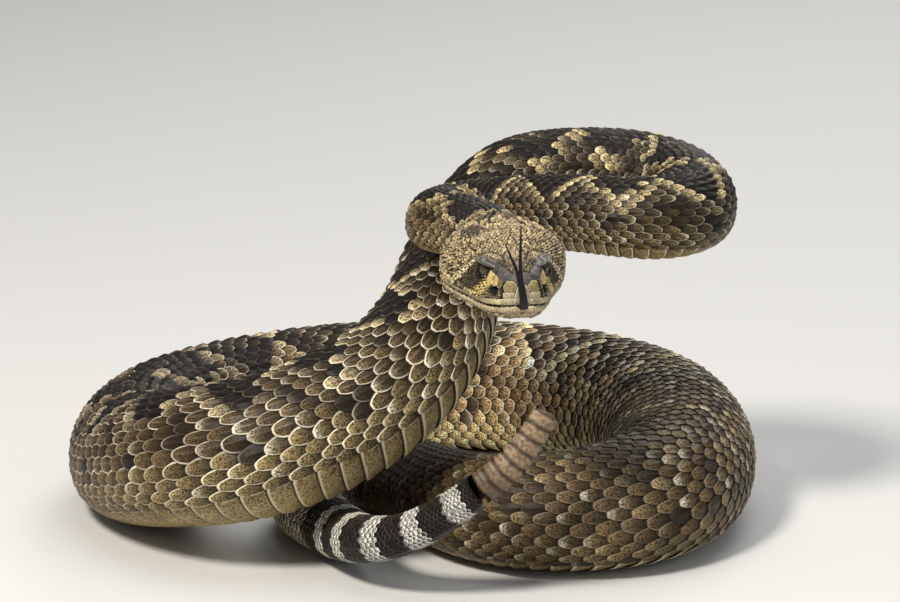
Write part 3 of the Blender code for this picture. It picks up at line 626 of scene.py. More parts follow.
class Head:
    """The head's own frame: across to the picture's right, back from the snout, up."""

    SNOUT = np.array((25.6, -52.0, 124.4))
    YAW = math.radians(9)
    DIP = math.radians(2)

    def __init__(self):
        level = math.cos(self.DIP)
        self.front = np.array((math.sin(self.YAW) * level, -math.cos(self.YAW) * level, -math.sin(self.DIP)))
        self.right = np.array((math.cos(self.YAW), math.sin(self.YAW), 0))
        self.up = np.cross(self.right, -self.front)
        self.make_surface()

    def place(self, spots):
        """Points of the snake's frame for points across, back and up."""
        across, back, up = spots[..., :1], spots[..., 1:2], spots[..., 2:]
        return self.SNOUT + across * self.right - back * self.front + up * self.up

    @staticmethod
    def profile(rows, back):
        """Eased reading of one of the head's outlines."""
        grid = np.arange(-4, 62, 0.1)
        rows = np.array(rows, float)
        eased = ease(np.interp(grid, rows[:, 0], rows[:, 1]), 6)
        sharp = np.interp(back, rows[:, 0], rows[:, 1])
        return sharp + (np.interp(back, grid, eased) - sharp) * step_up(back, 1.0, 4.0)

    def section(self, back, angle):
        """Plain head: the body's angles, with the top at 0 and the throat at half a turn."""
        half, crown, widest, lip, throat = (
            self.profile(rows, back) for rows in (HALF_WIDTH, CROWN, WIDEST, LIP, THROAT))
        square = 2 / self.profile(SQUARE, back)
        turn = np.abs((angle + math.pi) % (2 * math.pi) - math.pi)
        way = -np.sign(np.sin(angle))
        upper = np.minimum(turn, math.pi / 2)
        across = half * np.abs(np.sin(upper)) ** square
        up = widest + (crown - widest) * np.abs(np.cos(upper)) ** square
        below = (turn - math.pi / 2) / (math.pi / 2)
        cheek = np.clip(below / CHEEK_SHARE, 0, 1)
        fade = np.clip((JAW_REAR - back) / JAW_FADE, 0, 1)
        inner = half - JAW_INSET * fade * step_up(cheek, 0.8, 1)
        jaw = np.clip((below - CHEEK_SHARE) / (1 - CHEEK_SHARE), 0, 1) * math.pi / 2
        low_across = inner * np.cos(jaw) ** THROAT_ROUND
        low_up = np.where(below < CHEEK_SHARE, widest + (lip - widest) * cheek,
                          lip + (throat - lip) * np.sin(jaw) ** THROAT_ROUND)
        across = np.where(below > 0, low_across, across)
        up = np.where(below > 0, low_up, up)
        return np.stack([way * across, back * np.ones_like(across), up], -1)

    def make_surface(self):
        """Grid of the head's skin with brows, eye sockets, pits, nostrils and the line of the mouth."""
        self.backs = np.concatenate([np.arange(0.45, 26, 0.34), np.arange(26, 58, 0.55)])
        self.angles = np.linspace(0, 2 * math.pi, HEAD_SIDES + 1)
        grid = self.section(self.backs[:, None], self.angles[None, :])
        rows = []
        for share in (0.02, 0.12, 0.22, 0.32, 0.42, 0.52, 0.61, 0.69, 0.76, 0.82, 0.87, 0.91, 0.945, 0.975):
            row = grid[0].copy()
            row[:, 0] *= share
            row[:, 2] = FACE_MIDDLE + (row[:, 2] - FACE_MIDDLE) * share
            row[:, 1] = 0.1 + 0.35 * share ** 5
            rows.append(row)
        self.caps = len(rows)
        self.spots = self.plain = np.concatenate([np.array(rows), grid])
        self.normals = self.grid_normals(self.spots)
        self.spots = self.spots + self.normals * self.relief(self.spots)[..., None]
        self.normals = self.grid_normals(self.spots)

    @staticmethod
    def grid_normals(spots):
        along = np.gradient(spots, axis=0)
        round_ = np.gradient(spots, axis=1)
        round_[:, 0] = round_[:, -1] = spots[:, 1] - spots[:, -2]
        normal = np.cross(round_, along)
        return -normal / np.maximum(np.linalg.norm(normal, axis=-1, keepdims=True), 1e-9)

    def relief(self, spots):
        """Height of the skin over the plain head."""
        spots = one_side(spots)
        across, back, up = spots[..., 0], spots[..., 1], spots[..., 2]

        def near(point, stretch=1):
            return np.linalg.norm((spots - point) / stretch, axis=-1)

        mouth = 1 - step_up(back, MOUTH_CORNER - 3, MOUTH_CORNER)
        above = up - self.profile(LIP, back)
        rise = 0
        for middle, width, high in ((1.6, 1.0, 0.40), (-1.5, 0.9, 0.25), (0, 0.24, -0.8)):
            rise = rise + high * np.exp(-((above - middle) / width) ** 2) * mouth
        for point, stretch, high in SWELLS:
            rise = rise + high * np.exp(-near(point, stretch) ** 2)
        eye = near(EYE_FACE)
        rise -= 2.6 * (1 - step_up(eye, 1.9, 2.75))
        rise += 0.35 * np.exp(-((eye - 3.1) / 0.42) ** 2)
        pit = near(PIT, PIT_REACH)
        rise -= 2.0 * (1 - step_up(pit, 0.55, 1.45))
        rise += 0.22 * np.exp(-((pit - 1.75) / 0.4) ** 2)
        rise -= 2.2 * (1 - step_up(near(NOSTRIL, SLOT), 0.35, 1.0))
        rise -= 0.4 * np.exp(-((brow_ring(across, back)[2] - 1.10) / 0.09) ** 2) * step_up(up, 5, 7)
        return rise

    def look_up(self, back, angle):
        """Point and normal of the finished skin at a distance back and an angle."""
        row = np.interp(back, self.backs, np.arange(len(self.backs))) + self.caps
        column = (np.asarray(angle) % (2 * math.pi)) / (2 * math.pi) * HEAD_SIDES
        row, column = np.broadcast_arrays(row, column)
        r0 = np.clip(np.floor(row).astype(int), 0, len(self.spots) - 2)
        c0 = np.clip(np.floor(column).astype(int), 0, HEAD_SIDES - 1)
        fr, fc = (row - r0)[..., None], (column - c0)[..., None]

        def blend(rows):
            low = rows[r0, c0] * (1 - fc) + rows[r0, c0 + 1] * fc
            high = rows[r0 + 1, c0] * (1 - fc) + rows[r0 + 1, c0 + 1] * fc
            return low * (1 - fr) + high * fr
        return blend(self.spots), unit(blend(self.normals))

    def ring_lengths(self, back):
        """Angles round one ring from the top down the + side, with their distance along the skin."""
        angles = np.linspace(0, math.pi, 181)
        spots, _ = self.look_up(back, angles)
        steps = np.linalg.norm(np.diff(spots, axis=0), axis=1)
        return angles, np.concatenate([[0], np.cumsum(steps)]), spots


def head_tone(spots, noise):
    """Colour of the head at points across, back and up: stripes, mask, lips and speckled crown."""
    across, back, up = np.abs(spots[..., 0]), spots[..., 1], spots[..., 2]

    def stripe(points, width):
        best = np.full(back.shape, 9.0)
        for (b0, u0), (b1, u1) in zip(points, points[1:]):
            run = np.array((b1 - b0, u1 - u0), float)
            t = np.clip(((back - b0) * run[0] + (up - u0) * run[1]) / (run @ run), 0, 1)
            best = np.minimum(best, np.hypot(back - b0 - t * run[0], up - u0 - t * run[1]))
        return 1 - step_up(best + 0.12 * noise, width * 0.7, width * 1.3)

    side, crown = step_up(across, 6.0, 8.5), step_up(up, 5, 8)
    tone = mix(HEAD_TAN * np.ones(spots.shape), HEAD_GREY, step_up(noise, 0.2, 1.2) * 0.6)
    face = (1 - step_up(back, 15, 18)) * step_up(up, -4, -2)
    upper_edge = np.interp(back, *zip((15, 6), *UPPER_STRIPE))
    lower_edge = np.interp(back, *zip(*LOWER_STRIPE))
    mask = step_up(back, 14, 17) * step_up(upper_edge - up, 0, 1.0) * step_up(up - lower_edge, 0, 1) * side
    for share in (0.35 * step_up(noise, 0.4, 1.0), 0.75 * step_up(noise, 1.0, 1.6), 0.55 * face,
                  0.88 * mask * (1 - step_up(back, 44, 50))):
        tone = mix(tone, HEAD_DARK, share)
    tone = mix(tone, HEAD_PALE, 0.95 * side * stripe(UPPER_STRIPE, 1.0))
    tone = mix(tone, HEAD_YELLOW, 0.95 * side * stripe(LOWER_STRIPE, 1.7))
    blotch = np.hypot((back - 43.5) / 4.0, (spots[..., 0] + 11) / 4.2) + 0.2 * noise
    nape = np.hypot((back - 55) / 4.5, (across - 5.5) / 2.6) + 0.2 * noise
    ring = np.exp(-((brow_ring(across, back)[2] - 1.16) / 0.13) ** 2) * step_up(up, 5, 7)
    for share in (0.8 * (1 - step_up(blotch, 0.8, 1.15)) * crown,
                  0.8 * (1 - step_up(nape, 0.8, 1.1)) * crown, 0.9 * ring):
        tone = mix(tone, HEAD_DARK, share)
    lip = Head.profile(LIP, back)
    chin = (1 - step_up(across, 3, 8)) * (1 - step_up(back, 6, 14)) * 0.8
    jaw = mix(JAW_CREAM_IN_PAINTED_SHADE * np.ones(spots.shape), CHIN_BROWN, chin)
    return mix(tone, jaw, 1 - step_up(up, lip - 1.5, lip - 0.2))


def head_scales(head, random):
    """Small overlapping scales over the head, finest on the crown."""
    cells = []
    back, number = 1.6, 0
    while back < 58.6:
        size = 0.98 + 0.22 * step_up(back, 20, 40) + 1.6 * step_up(back, 42, 58)
        angles, lengths, spots = head.ring_lengths(min(back, 57.9))
        lip = float(Head.profile(LIP, back))
        floor = lip + float(Head.profile(UPPER_LIP, back)) + 0.1 - 40 * step_up(back, 36, 42)
        across_size = size * 1.05
        reach = math.floor(lengths[-1] / across_size)
        for place in (np.arange(-reach, reach) + GOLDEN * number % 1.0) * across_size:
            angle = float(np.interp(abs(place), lengths, angles))
            low = float(np.interp(abs(place), lengths, spots[:, 2]))
            under = low < lip - 3.0
            if low >= floor or under:
                cells.append((back, math.copysign(angle, place), size * (1.6 if under else 1.0)))
        back += size * 0.82
        number += 1
    cells = np.array(cells)
    middle, _ = head.look_up(cells[:, 0], cells[:, 1])
    flat = one_side(head.section(cells[:, 0], cells[:, 1]))
    keep = np.linalg.norm(flat - EYE_FACE, axis=1) > 2.9
    keep &= np.linalg.norm((flat - PIT) / PIT_REACH, axis=1) > 1.5
    keep &= np.linalg.norm((flat - NOSTRIL) / SLOT, axis=1) > 1
    out, run, ring = brow_ring(flat[:, 0], flat[:, 1])
    covered = (ring < 0.97) & (BROW[2] + brow_height(out, run, ring)[1] > flat[:, 2] + 0.5)
    keep &= ~covered | (flat[:, 2] < 5.5)
    keep &= (flat[:, 1] > 3.0) | (flat[:, 2] > 7.0) | ((flat[:, 2] < -6) & (flat[:, 1] > 1.0))
    for view, corners, _, _ in FACE_PLATES:
        keep &= ~inside(view, corners, flat)
    cells, middle = cells[keep], middle[keep]
    t = np.array((0, 0.10, 0.34, 0.66, 0.90, 1.0))[None, :, None]
    v = np.array((-1, -0.80, -0.32, 0.32, 0.80, 1))[None, None, :]
    jitter = random.normal(0, 1, (len(cells), 4))
    cells[:, 2] *= np.exp(0.14 * jitter[:, 1])
    cells[:, 0] += 0.20 * cells[:, 2] * jitter[:, 0]
    back, angle, size = (cells[:, k][:, None, None] for k in range(3))
    jitter = jitter[:, :, None, None]
    spots, _ = head.look_up(cells[:, 0], cells[:, 1] + 0.02)
    arc = np.linalg.norm(spots - middle, axis=1)[:, None, None] / 0.02
    place = back + (t - 0.5) * size * 1.26
    round_end = 0.62 + 0.38 * np.sin(math.pi * t)
    turn = angle + ((v * round_end * 0.62 + 0.15 * jitter[:, 3]) * size) / np.maximum(arc, 4)
    spots, normals = head.look_up(np.clip(place, 0.5, 58.5), turn)
    edge = np.maximum(np.abs(v), np.abs(2 * t - 1))
    height = (-0.34 + 0.84 * (1 - edge ** 2.6) + 0.16 * (t - 0.5) + 0.06 * jitter[:, 2]) * (size / 1.3)
    points = to_world(head.place(spots + normals * height[..., None]))
    noise = random.normal(0, 1, len(cells))
    tone = np.clip(head_tone(middle, noise) * np.exp(0.28 * random.normal(0, 1, (len(cells), 1))), 0, 1)
    root = unwrap_head(cells[:, 0], cells[:, 1])
    return build_mesh("head_scales", points, grid_quads(*points.shape[:3]), scale_uv(root, t, v),
                      tone=tone[:, None, None], edge=edge)


def lip_plates(head, random):
    """Upper and lower lip scales from the snout back to the corner of the mouth."""
    backs = np.arange(LIP_START, MOUTH_CORNER + 1.5, 0.1)
    angles = np.linspace(0.3, math.pi - 0.1, 260)
    t, v = np.linspace(-1, 1, 7)[:, None], np.linspace(-1, 1, 6)[None, :]
    local = UV_PATCH / 2 * np.stack(np.broadcast_arrays(t, v), -1)
    edge = np.maximum(np.abs(t), np.abs(v))
    patches = Patches()
    lips = ((True, 0.26, Head.profile(UPPER_LIP, backs)), (False, -2.7, np.full(len(backs), -0.18)))
    for upper, low, high in lips:
        middle, half = (low + high) / 2, (high - low) / 2
        curve = []
        for back, rise in zip(backs, middle):
            spots, _ = head.look_up(back, angles)
            at = np.interp(-(Head.profile(LIP, back) + rise), -spots[:, 2], angles)
            curve.append(head.look_up(back, at)[0])
        length = np.concatenate([[0], np.cumsum(np.linalg.norm(np.diff(curve, axis=0), axis=1))])
        count = round(length[-1] / LIP_PLATE)
        each = length[-1] / count
        for number in range(count):
            lengths = (number + 0.5) * each + 0.5 * each * 0.97 * t * (1 - 0.05 * v ** 4)
            place = np.interp(lengths, length, backs)
            lip = Head.profile(LIP, place)
            tall = np.interp(place, backs, half) * (1 - 0.2 * (number / count) ** 2)
            want = lip + np.interp(place, backs, middle) + 0.96 * tall * v * (1 - 0.10 * t ** 4)
            turn = np.array([np.interp(-up, -head.look_up(back, angles)[0][:, 2], angles)
                             for back, up in zip(place[:, 0], want)])
            height = 0.02 + 0.26 * (1 - edge ** 4) - 0.26 * step_up(edge, 0.9, 1) + 0.06 * (t + 1)
            height = height + 0.35 * np.exp(-((want - lip) / 0.26) ** 2)
            rear = 0.15 + 0.45 * step_up(place[3, 0], 7, 16)
            core = mix(mix(HEAD_PALE, HEAD_TAN, rear), HEAD_DARK, rear) if upper else JAW_CREAM_IN_PAINTED_SHADE
            for way in (1, -1):
                spots, normals = head.look_up(place, way * turn)
                spots = spots + normals * height[..., None]
                uv = unwrap_head(place[3, 0], way * turn[3, 3]) + local
                patches.add(spots.reshape(-1, 3), grid_quads(1, 7, 6, way == -1), uv.reshape(-1, 2),
                            core * math.exp(0.14 * random.normal()), edge.ravel(), 0.6)
    return patches.mesh("lip_scales", head)


def inside(view, corners, spots):
    """Whether points lie under a face plate's outline, seen from its side."""
    one, two = {"front": (0, 2), "side": (1, 2)}.get(view, (0, 1))
    across, back, up = spots.T
    under = {"front": back < 3.5, "side": across > 5, "top": up > 3, "low": up < -6}[view]
    middle = np.mean(corners, axis=0)
    for a, b in zip(corners, corners[1:] + corners[:1]):
        run = np.subtract(b, a)
        sign = np.sign(run[0] * (middle[1] - a[1]) - run[1] * (middle[0] - a[0]))
        within = run[0] * (spots[:, two] - a[1]) - run[1] * (spots[:, one] - a[0])
        under = under & (sign * within > -0.25 * np.hypot(*run))
    return under


def plate_ray(view, way, one, two):
    """Start and direction of the ray that lays one point of a face plate on the head."""
    if view == "front":
        return Vector((way * one, -8, two)), Vector((0, 1, 0))
    if view == "side":
        return Vector((way * 30, one, two)), Vector((-way, 0, 0))
    high = 1 if view == "top" else -1
    return Vector((way * one, two, 30 * high)), Vector((0, 0, -high))


def face_plates(head, tree, random):
    """Large plates of the face, each cut to its outline and laid on the skin."""
    share = np.array((0.02, 0.3, 0.55, 0.75, 0.88, 0.95, 1.0))
    patches = Patches()
    for view, corners, lift, core in FACE_PLATES:
        outline = np.concatenate([np.linspace(a, b, 8, endpoint=False)
                                  for a, b in zip(corners, corners[1:] + corners[:1])])
        for _ in range(3):
            outline = 0.5 * outline + 0.25 * (np.roll(outline, 1, axis=0) + np.roll(outline, -1, axis=0))
        middle = outline.mean(axis=0)
        outline = middle + (outline - middle) * PLATE_SPREAD
        spokes = len(outline)
        grey = core is PLATE_GREY
        turn = 2 * math.pi * np.arange(spokes) / spokes
        local = 0.002 * np.stack([np.outer(share, wave(turn)).ravel() for wave in (np.cos, np.sin)], -1)
        ring, k = (np.arange(len(share) - 1) * spokes)[:, None], np.arange(spokes)[None, :]
        after = (k + 1) % spokes
        cells = (ring + k, ring + after, ring + spokes + after, ring + spokes + k)
        cells = np.stack(cells, -1).reshape(-1, 4)
        for way in (1,) if min(corners)[0] < 0 else (1, -1):
            made = []
            for part in share:
                rise = lift * (1 - part ** 4) - 0.15 * float(step_up(part, 0.94, 1.0))
                for one, two in middle + (outline - middle) * part:
                    start, toward = plate_ray(view, way, one, two)
                    hit, normal, _, _ = tree.ray_cast(start, toward)
                    if hit is None:
                        hit, normal, _, _ = tree.find_nearest(Vector((start[0], FACE_MIDDLE, start[2])))
                    high = -rise if normal.dot(toward) > 0 else rise
                    made.append(np.array(hit) + np.array(normal) * high)
            shade = math.exp((0.30 if grey else 0.08) * random.normal())
            uv = unwrap_head(made[0][1], math.atan2(-made[0][0], made[0][2] + 4)) + local
            outward = (view in ("side", "top")) == (way > 0)
            patches.add(np.array(made), cells[:, ::-1] if outward else cells, uv, core * shade,
                        np.repeat(share, spokes), 0.2 if grey else 0.6)
    return patches.mesh("face_plates", head)


def brow_plate(head, way, name):
    """Large plate over the eye, standing out as a ledge."""
    flat = np.concatenate([np.linspace(0, 1, 30), np.linspace(1, 0, 8)[1:]])[:, None]
    lon = np.linspace(0, 2 * math.pi, 81)[None, :]
    out, run = flat * np.cos(lon), flat * np.sin(lon)
    wide, long = out * brow_narrow(run) * BROW_REACH[0], run * BROW_REACH[1]
    wave = np.sin(11 * out + 2 * run + 2.2 * np.sin(4.1 * run + way) + 1.3 * np.sin(7 * out - 3 * run))
    depth, high = brow_height(out, run, flat)
    below = (np.arange(len(flat)) >= 30)[:, None]
    high = np.where(below, high - 2 * depth * BROW_REACH[2], high + 0.11 * wave * depth)
    depth = np.where(below, -depth, depth)
    spots = np.stack([way * (wide * math.cos(BROW_TURN) + long * math.sin(BROW_TURN)),
                      long * math.cos(BROW_TURN) - wide * math.sin(BROW_TURN), high], -1)
    upper = step_up(depth, -0.05, 0.12)
    edge = flat * (0.82 + 0.18 * step_up(np.cos(lon), -0.6, 0.1)) * upper
    # The plate's underside is painted dark: painted shade under the ledge.
    tone = mix(HEAD_DARK, mix(BROW_GREY, HEAD_DARK, 0.75 * step_up(wave, -0.3, 0.7)), upper)
    tone = mix(tone, HEAD_DARK, step_up(flat, 0.80, 0.95) * step_up(-np.cos(lon), 0.3, 0.6))
    uv = unwrap_head(BROW[1] + spots[..., 1] * 0.02, -way * 0.9 + 0.004 * spots[..., 0])
    points = to_world(head.place(spots + BROW * (way, 1, 1)))
    return build_mesh(name, points, grid_quads(1, *points.shape[:2], way == 1), uv,
                      tone=tone, edge=0.83 * edge, pale=1)


def one_skin(body, head):
    """Skin of the head and body as one mesh, the head's finer rings stepping down to the body's."""
    last = 2 * math.pi - 1e-4
    back = head.spots[..., 1]
    spots = head.place(head.spots - head.normals * HEAD_COAT)
    uv = unwrap_head(np.clip(back, 0, 60), np.minimum(head.angles, last))
    # The head's skin, seen between the scales, is far darker than they are: partly darker skin, partly
    # painted shade in the gaps.
    tone = head_tone(head.spots, np.zeros(back.shape)) * 0.14
    # Eye sockets, pits and nostrils are painted black: painted shade in the hollows.
    hollow = one_side(head.plain)
    for point, reach in ((EYE_FACE, 2.6), (PIT, np.multiply(PIT_REACH, 1.4)), (NOSTRIL, SLOT)):
        deep = 1 - step_up(np.linalg.norm((hollow - point) / reach, axis=-1), 0.8, 1.15)
        tone = mix(tone, BLACK, deep)
    # A black line along the mouth: painted shade in the mouth's slit.
    above = head.spots[..., 2] - Head.profile(LIP, back)
    line = np.exp(-(above / 0.35) ** 2) * (1 - step_up(back, MOUTH_CORNER - 2, MOUTH_CORNER + 1))
    rows = list(zip(spots, mix(tone, BLACK, line), uv))
    for far in (0.3, *np.arange(SKIN_STEP, TAIL_END, SKIN_STEP)):
        angle = np.linspace(0, 2 * math.pi, HEAD_SIDES // (2 if far < SKIN_STEP else 4) + 1)
        row = ((angle + math.pi) % (2 * math.pi) - math.pi) / (2 * DORSAL / ROWS)
        shade = markings(np.full(len(angle), far), row, np.zeros(len(angle)))
        # Body skin far darker than its scales: partly darker skin, partly painted shade in the gaps; paler
        # under the belly scutes.
        shade = mix(shade * 0.18, BELLY_COLOUR * 0.5, step_up(np.abs(row), 12.5, 13.5))
        rows.append((body.surface(far, angle, -COAT * body.girth(far)), shade,
                     unwrap_body(far, np.minimum(angle, last), body.end)))
    starts = np.concatenate([[0], np.cumsum([len(row[0]) for row in rows])])
    quads, tris = [], []
    for a, b, near, after in zip(starts, starts[1:], rows, rows[1:]):
        k = np.arange(len(after[0]) - 1)
        if len(near[0]) == len(after[0]):
            quads.append(np.stack([a + k, b + k, b + k + 1, a + k + 1], -1))
        else:
            tris += [np.stack(corners, -1) for corners in (
                (a + 2 * k, b + k, a + 2 * k + 1), (a + 2 * k + 1, b + k, b + k + 1),
                (a + 2 * k + 1, b + k + 1, a + 2 * k + 2))]
    points, tone, uv = (np.concatenate([row[k] for row in rows]) for k in range(3))
    return build_mesh("skin", to_world(points), np.concatenate(quads), uv, np.concatenate(tris), tone=tone)


def eye(head, way, name):
    """Eyeball with an upright slit pupil."""
    lat, lon = np.linspace(0, math.pi, 40)[:, None], np.linspace(0, 2 * math.pi, 65)[None, :]
    out = np.cos(lat) * np.ones_like(lon)
    round_back, round_up = np.sin(lat) * np.cos(lon), np.sin(lat) * np.sin(lon)
    c, s = math.cos(EYE_TILT), math.sin(EYE_TILT)
    spots = EYE_RADIUS * np.stack([way * (out * c + round_back * s), round_back * c - out * s, round_up], -1)
    slit = np.abs(round_back) / 0.13 / np.sqrt(np.clip(1 - (round_up / 0.72) ** 2, 0.001, 1))
    far = np.hypot(round_back, round_up)
    grain = 0.5 + 0.5 * np.sin(26 * np.arctan2(round_up, round_back) + 9 * far)
    tone = mix(IRIS_IN_PAINTED_SHADE, IRIS_IN_PAINTED_SHADE * 0.5, 0.5 * grain)
    tone = mix(tone, BLACK, 1 - step_up(slit, 0.85, 1.1))
    # Black towards the eyeball's margin: painted shade of the socket.
    tone = mix(tone, BLACK, step_up(far, 0.80, 0.9))
    points = to_world(head.place(spots + EYE * (way, 1, 1)))
    return build_mesh(name, points, grid_quads(1, *points.shape[:2], way == -1), tone=tone)


def tube(name, head, points, wide, thick):
    """Tapering tube with a round tip through points of the head's frame."""
    _, line = spline(points, TONGUE_STEP)
    ways = unit(np.gradient(line, axis=0))
    across = unit(np.array((1.0, 0, 0)) - ways * ways[:, :1])
    face = np.cross(ways, across)
    share = np.linspace(0, 1, len(line))[:, None]
    tip = np.sqrt(np.clip((1 - share) * len(line) * TONGUE_STEP / wide[1], 0.0004, 1))
    turn = np.linspace(0, 2 * math.pi, TONGUE_SIDES + 1)[None, :]
    a = ((wide[0] + (wide[1] - wide[0]) * share) * tip * np.cos(turn))[..., None] * across[:, None]
    b = ((thick[0] + (thick[1] - thick[0]) * share) * tip * np.sin(turn))[..., None] * face[:, None]
    points = to_world(head.place(line[:, None] + a + b))
    return build_mesh(name, points, grid_quads(1, *points.shape[:2], True), tone=TONGUE_COLOUR)


def tongue(head):
    """Stem and two tines as one object."""
    pieces = [tube("tongue", head, TONGUE_STEM, TONGUE_WIDE, TONGUE_THICK)]
    pieces += [tube("tine", head, points, TINE_WIDE, TINE_THICK) for points in TONGUE_TINES]
    bpy.ops.object.select_all(action="DESELECT")
    for piece in pieces:
        piece.select_set(True)
    bpy.context.view_layer.objects.active = pieces[0]
    bpy.ops.object.join()
    return pieces[0]


def rattle(body):
    """Lobed horny segments, each with a raised ring, a groove and two side lobes."""
    samples = 14
    far, size, shade = [], [], []
    segment = (body.end - TAIL_END) / RATTLE_SEGMENTS
    for number in range(RATTLE_SEGMENTS):
        taper = 1 + (RATTLE_TAPER - 1) * number / (RATTLE_SEGMENTS - 1)
        for k in range(samples):
            t = k / samples
            swell = 0.80 + 0.20 * math.sin(math.pi * min(1, t / 0.9)) ** 0.45
            ridge = 0.05 * math.exp(-((t - 0.22) / 0.08) ** 2) - 0.05 * math.exp(-((t - 0.48) / 0.10) ** 2)
            far.append(TAIL_END + (number + t) * segment)
            size.append((swell + ridge) * taper)
            shade.append(min(1.0, abs(t - 0.95) / 0.22, (t + 0.05) / 0.22))
    far += [body.end, body.end + 0.4, body.end + 0.5]
    size += [0.62 * RATTLE_TAPER, 0.4 * RATTLE_TAPER, 0.02]
    shade += [0.5, 0.6, 0.6]
    far, size, shade = (np.array(rows)[:, None] for rows in (far, size, shade))
    turn = np.linspace(0, 2 * math.pi, 49)[None, :]
    lobe = 1 - 0.10 * (1 - np.cos(4 * turn)) / 2
    reach = np.minimum(far, body.end - 0.01)
    points = (body.pick(body.points, reach) + body.pick(body.along, reach) * (far - reach)[..., None]
              + body.pick(body.side, reach) * (np.sin(turn) * RATTLE_WIDE * size * lobe)[..., None]
              + body.pick(body.back, reach) * (np.cos(turn) * RATTLE_TALL * size * lobe)[..., None])
    tone = mix(RATTLE_DARK, RATTLE_PALE, shade)
    tone = mix(tone, RATTLE_DARK * 0.7, 0.35 * np.exp(-(np.sin(turn) ** 2) / 0.05))
    tone = mix(tone, RATTLE_DARK, 0.6 * (1 - step_up((far - TAIL_END) / segment, 0.3, 2.6)))
    return build_mesh("rattle", to_world(points), grid_quads(1, *points.shape[:2], True), tone=tone)


class Look:
    """Material in the making: nodes are added with each input linked or set."""

    def __init__(self, name, rough, specular=0.5):
        self.material = bpy.data.materials.new(name)
        self.material.use_nodes = True
        self.tree = self.material.node_tree
        self.shader = self.tree.nodes["Principled BSDF"]
        self.set(self.shader, {"Roughness": rough, "Specular IOR Level": specular})

    def set(self, node, inputs):
        for key, value in inputs.items():
            if isinstance(value, bpy.types.NodeSocket):
                self.tree.links.new(value, node.inputs[key])
            else:
                node.inputs[key].default_value = value

    def add(self, kind, out, inputs, **settings):
        node = self.tree.nodes.new("ShaderNode" + kind)
        for key, value in settings.items():
            setattr(node, key, value)
        self.set(node, inputs)
        return node.outputs[out]

    def attribute(self, key, out="Fac"):
        return self.add("Attribute", out, {}, attribute_name=key)

    def noise(self, scale, detail):
        place = self.add("TexCoord", "Object", {})
        return self.add("TexNoise", 0, {"Vector": place, "Scale": scale, "Detail": detail})

    def ramp(self, value, low, high):
        return self.add("MapRange", 0, {0: value, 1: low, 2: high}, interpolation_type="SMOOTHSTEP")

    def times(self, a, b):
        return self.add("Math", 0, {0: a, 1: b}, operation="MULTIPLY")

    def blend(self, share, a, b):
        return self.add("Mix", 2, {0: share, 6: a, 7: b}, data_type="RGBA")

    def finish(self, colour, height, strength):
        """Set the colour and, where a height is given, a fine bump."""
        self.set(self.shader, {"Base Color": colour})
        if height is not None:
            bump = self.add("Bump", 0, {"Height": height, "Strength": strength, "Distance": BUMP_DEPTH})
            self.set(self.shader, {"Normal": bump})
        return self.material


def scale_material(name, rim, speckle, rough, grain, rim_from=0.70, gap=(0.83, 0.88)):
    """Satin scale: its own tone, pale rim, speckles and fine grain, with a painted highlight along the keel
    and painted shade at the edge.
    """
    look = Look(name, rough, 0.12)
    tone, edge, light = look.attribute("tone", "Color"), look.attribute("edge"), look.attribute("pale")
    speckles = look.times(look.ramp(look.noise(grain, 4), 0.38, 0.64), look.ramp(edge, 0.98, 0.72))
    colour = look.blend(look.times(speckles, speckle), tone, SPECKLE)
    pale = look.blend(0.72, tone, (*RIM, 1))
    # A painted highlight along each scale's keel.
    keel = look.times(look.ramp(look.attribute("keel"), 0.5, 0.95), 0.12)
    rims = look.times(look.ramp(edge, rim_from, rim_from + 0.07), rim)
    for share in (keel, rims):
        colour = look.blend(look.times(share, light), colour, pale)
    # Dark at the very edge: painted shade in the gaps between the scales, partly the dark skin seen there.
    colour = look.blend(look.times(look.ramp(edge, *gap), 0.96), colour, GAP_SHADE)
    return look.finish(colour, look.noise(2500, 2), 0.25)


def grained_material(name, rough, grain, share, bump, specular=0.3):
    """The piece's own tone broken up by noise of the given grain, with the same noise as bump."""
    look = Look(name, rough, specular)
    noise = look.noise(grain, 4)
    dark = look.add("MapRange", 0, {0: noise, 1: 0.38, 2: 0.62, 3: 0.0, 4: share})
    return look.finish(look.blend(dark, look.attribute("tone", "Color"), GRAIN_SHADE), noise, bump)


def area_light(name, place, target, power, size, colour):
    lamp = bpy.data.lights.new(name, "AREA")
    lamp.energy = power
    lamp.size = size
    lamp.color = colour
    obj = bpy.data.objects.new(name, lamp)
    obj.location = place
    obj.rotation_euler = (Vector(target) - Vector(place)).to_track_quat("-Z", "Y").to_euler()
    bpy.context.scene.collection.objects.link(obj)


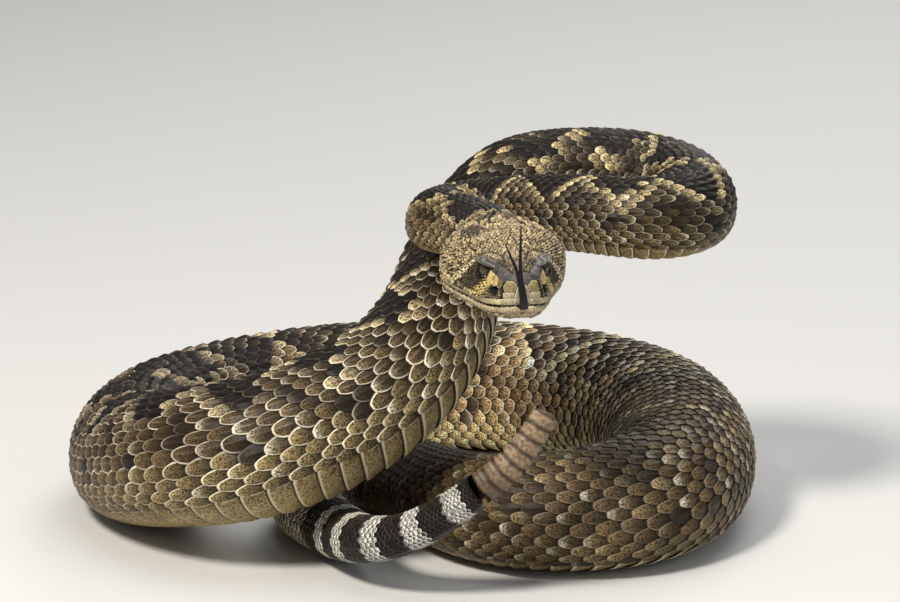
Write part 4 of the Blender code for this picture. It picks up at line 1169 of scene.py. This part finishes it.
def stage():
    """Pale floor, soft studio light and the photo's camera."""
    scene = bpy.context.scene
    bpy.ops.mesh.primitive_plane_add(size=12, location=(0, 0, -0.0002))
    floor = bpy.context.object
    floor.name = "floor"
    floor.data.materials.append(Look("floor", 0.9).finish(FLOOR_COLOUR, None, 0))
    world = bpy.data.worlds.new("studio")
    scene.world = world
    world.use_nodes = True
    background = world.node_tree.nodes["Background"]
    background.inputs[0].default_value = WORLD_COLOUR
    background.inputs[1].default_value = WORLD_STRENGTH
    for light in LIGHTS:
        area_light(*light)
    camera = bpy.data.objects.new("camera", bpy.data.cameras.new("camera"))
    camera.data.lens = CAMERA_LENS
    camera.data.sensor_width = CAMERA_SENSOR
    x, y, z = CAMERA_PLACE
    camera.location = ((x - CENTRE[0]) * MM, (y - CENTRE[1]) * MM, z * MM)
    camera.rotation_euler = (math.radians(90 - CAMERA_DIP), 0, 0)
    scene.collection.objects.link(camera)
    scene.camera = camera
    scene.view_settings.view_transform = "Standard"
    scene.view_settings.look = "None"


def add(obj, material, slot, *nodes):
    """Give a piece its material and set it on the frame, in place of the named nodes."""
    obj.data.materials.append(material)
    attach(obj, "root")
    if nodes:
        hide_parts(*nodes)


def main():
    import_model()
    random = np.random.default_rng(SEED)
    body, head = Body(), Head()
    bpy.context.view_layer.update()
    scales = scale_material("scales", 0.95, 0.92, 0.42, 1500)
    plates = scale_material("plates", 0.5, 0.75, 0.38, 1100, 0.66, (0.90, 0.95))
    faces = scale_material("faces", 0.45, 0.5, 0.42, 2000, 0.78, (0.93, 0.97))
    granules = scale_material("granules", 0.0, 0.5, 0.5, 2400, 0.7, (0.56, 0.86))
    for order, (start, stop) in enumerate(zip(COAT_CUTS, COAT_CUTS[1:])):
        add(dorsal_scales(body, f"scales_{order + 1}", start, stop, random), scales, "body_skin")
    add(belly_scutes(body, random), plates, "body_skin")
    add(head_scales(head, random), granules, "head_skin")
    add(lip_plates(head, random), faces, "head_skin")
    flesh = grained_material("skin", 0.65, 900, 0.5, 0.4, 0.15)
    add(one_skin(body, head), flesh, "body_skin", "head", "lower_jaw", *BODY_NODES)
    rows = head.spots - head.normals * HEAD_COAT
    flat = [Vector(point) for point in rows.reshape(-1, 3)]
    cells = grid_quads(1, *rows.shape[:2]).tolist()
    add(face_plates(head, BVHTree.FromPolygons(flat, cells), random), faces, "head_skin")
    add(brow_plate(head, -1, "brow_right"), faces, "head_skin")
    add(brow_plate(head, 1, "brow_left"), faces, "head_skin")
    glossy = grained_material("eye", 0.08, 2600, 0.35, 0.0, 0.5)
    add(eye(head, -1, "eye_right_ball"), glossy, "eye", "eye_right")
    add(eye(head, 1, "eye_left_ball"), glossy, "eye", "eye_left")
    add(tongue(head), grained_material("tongue", 0.38, 1800, 0.4, 0.3, 0.2), "tongue", "tongue")
    add(rattle(body), grained_material("rattle", 0.45, 700, 0.55, 0.5), "rattle", "rattle")
    stage()


main()
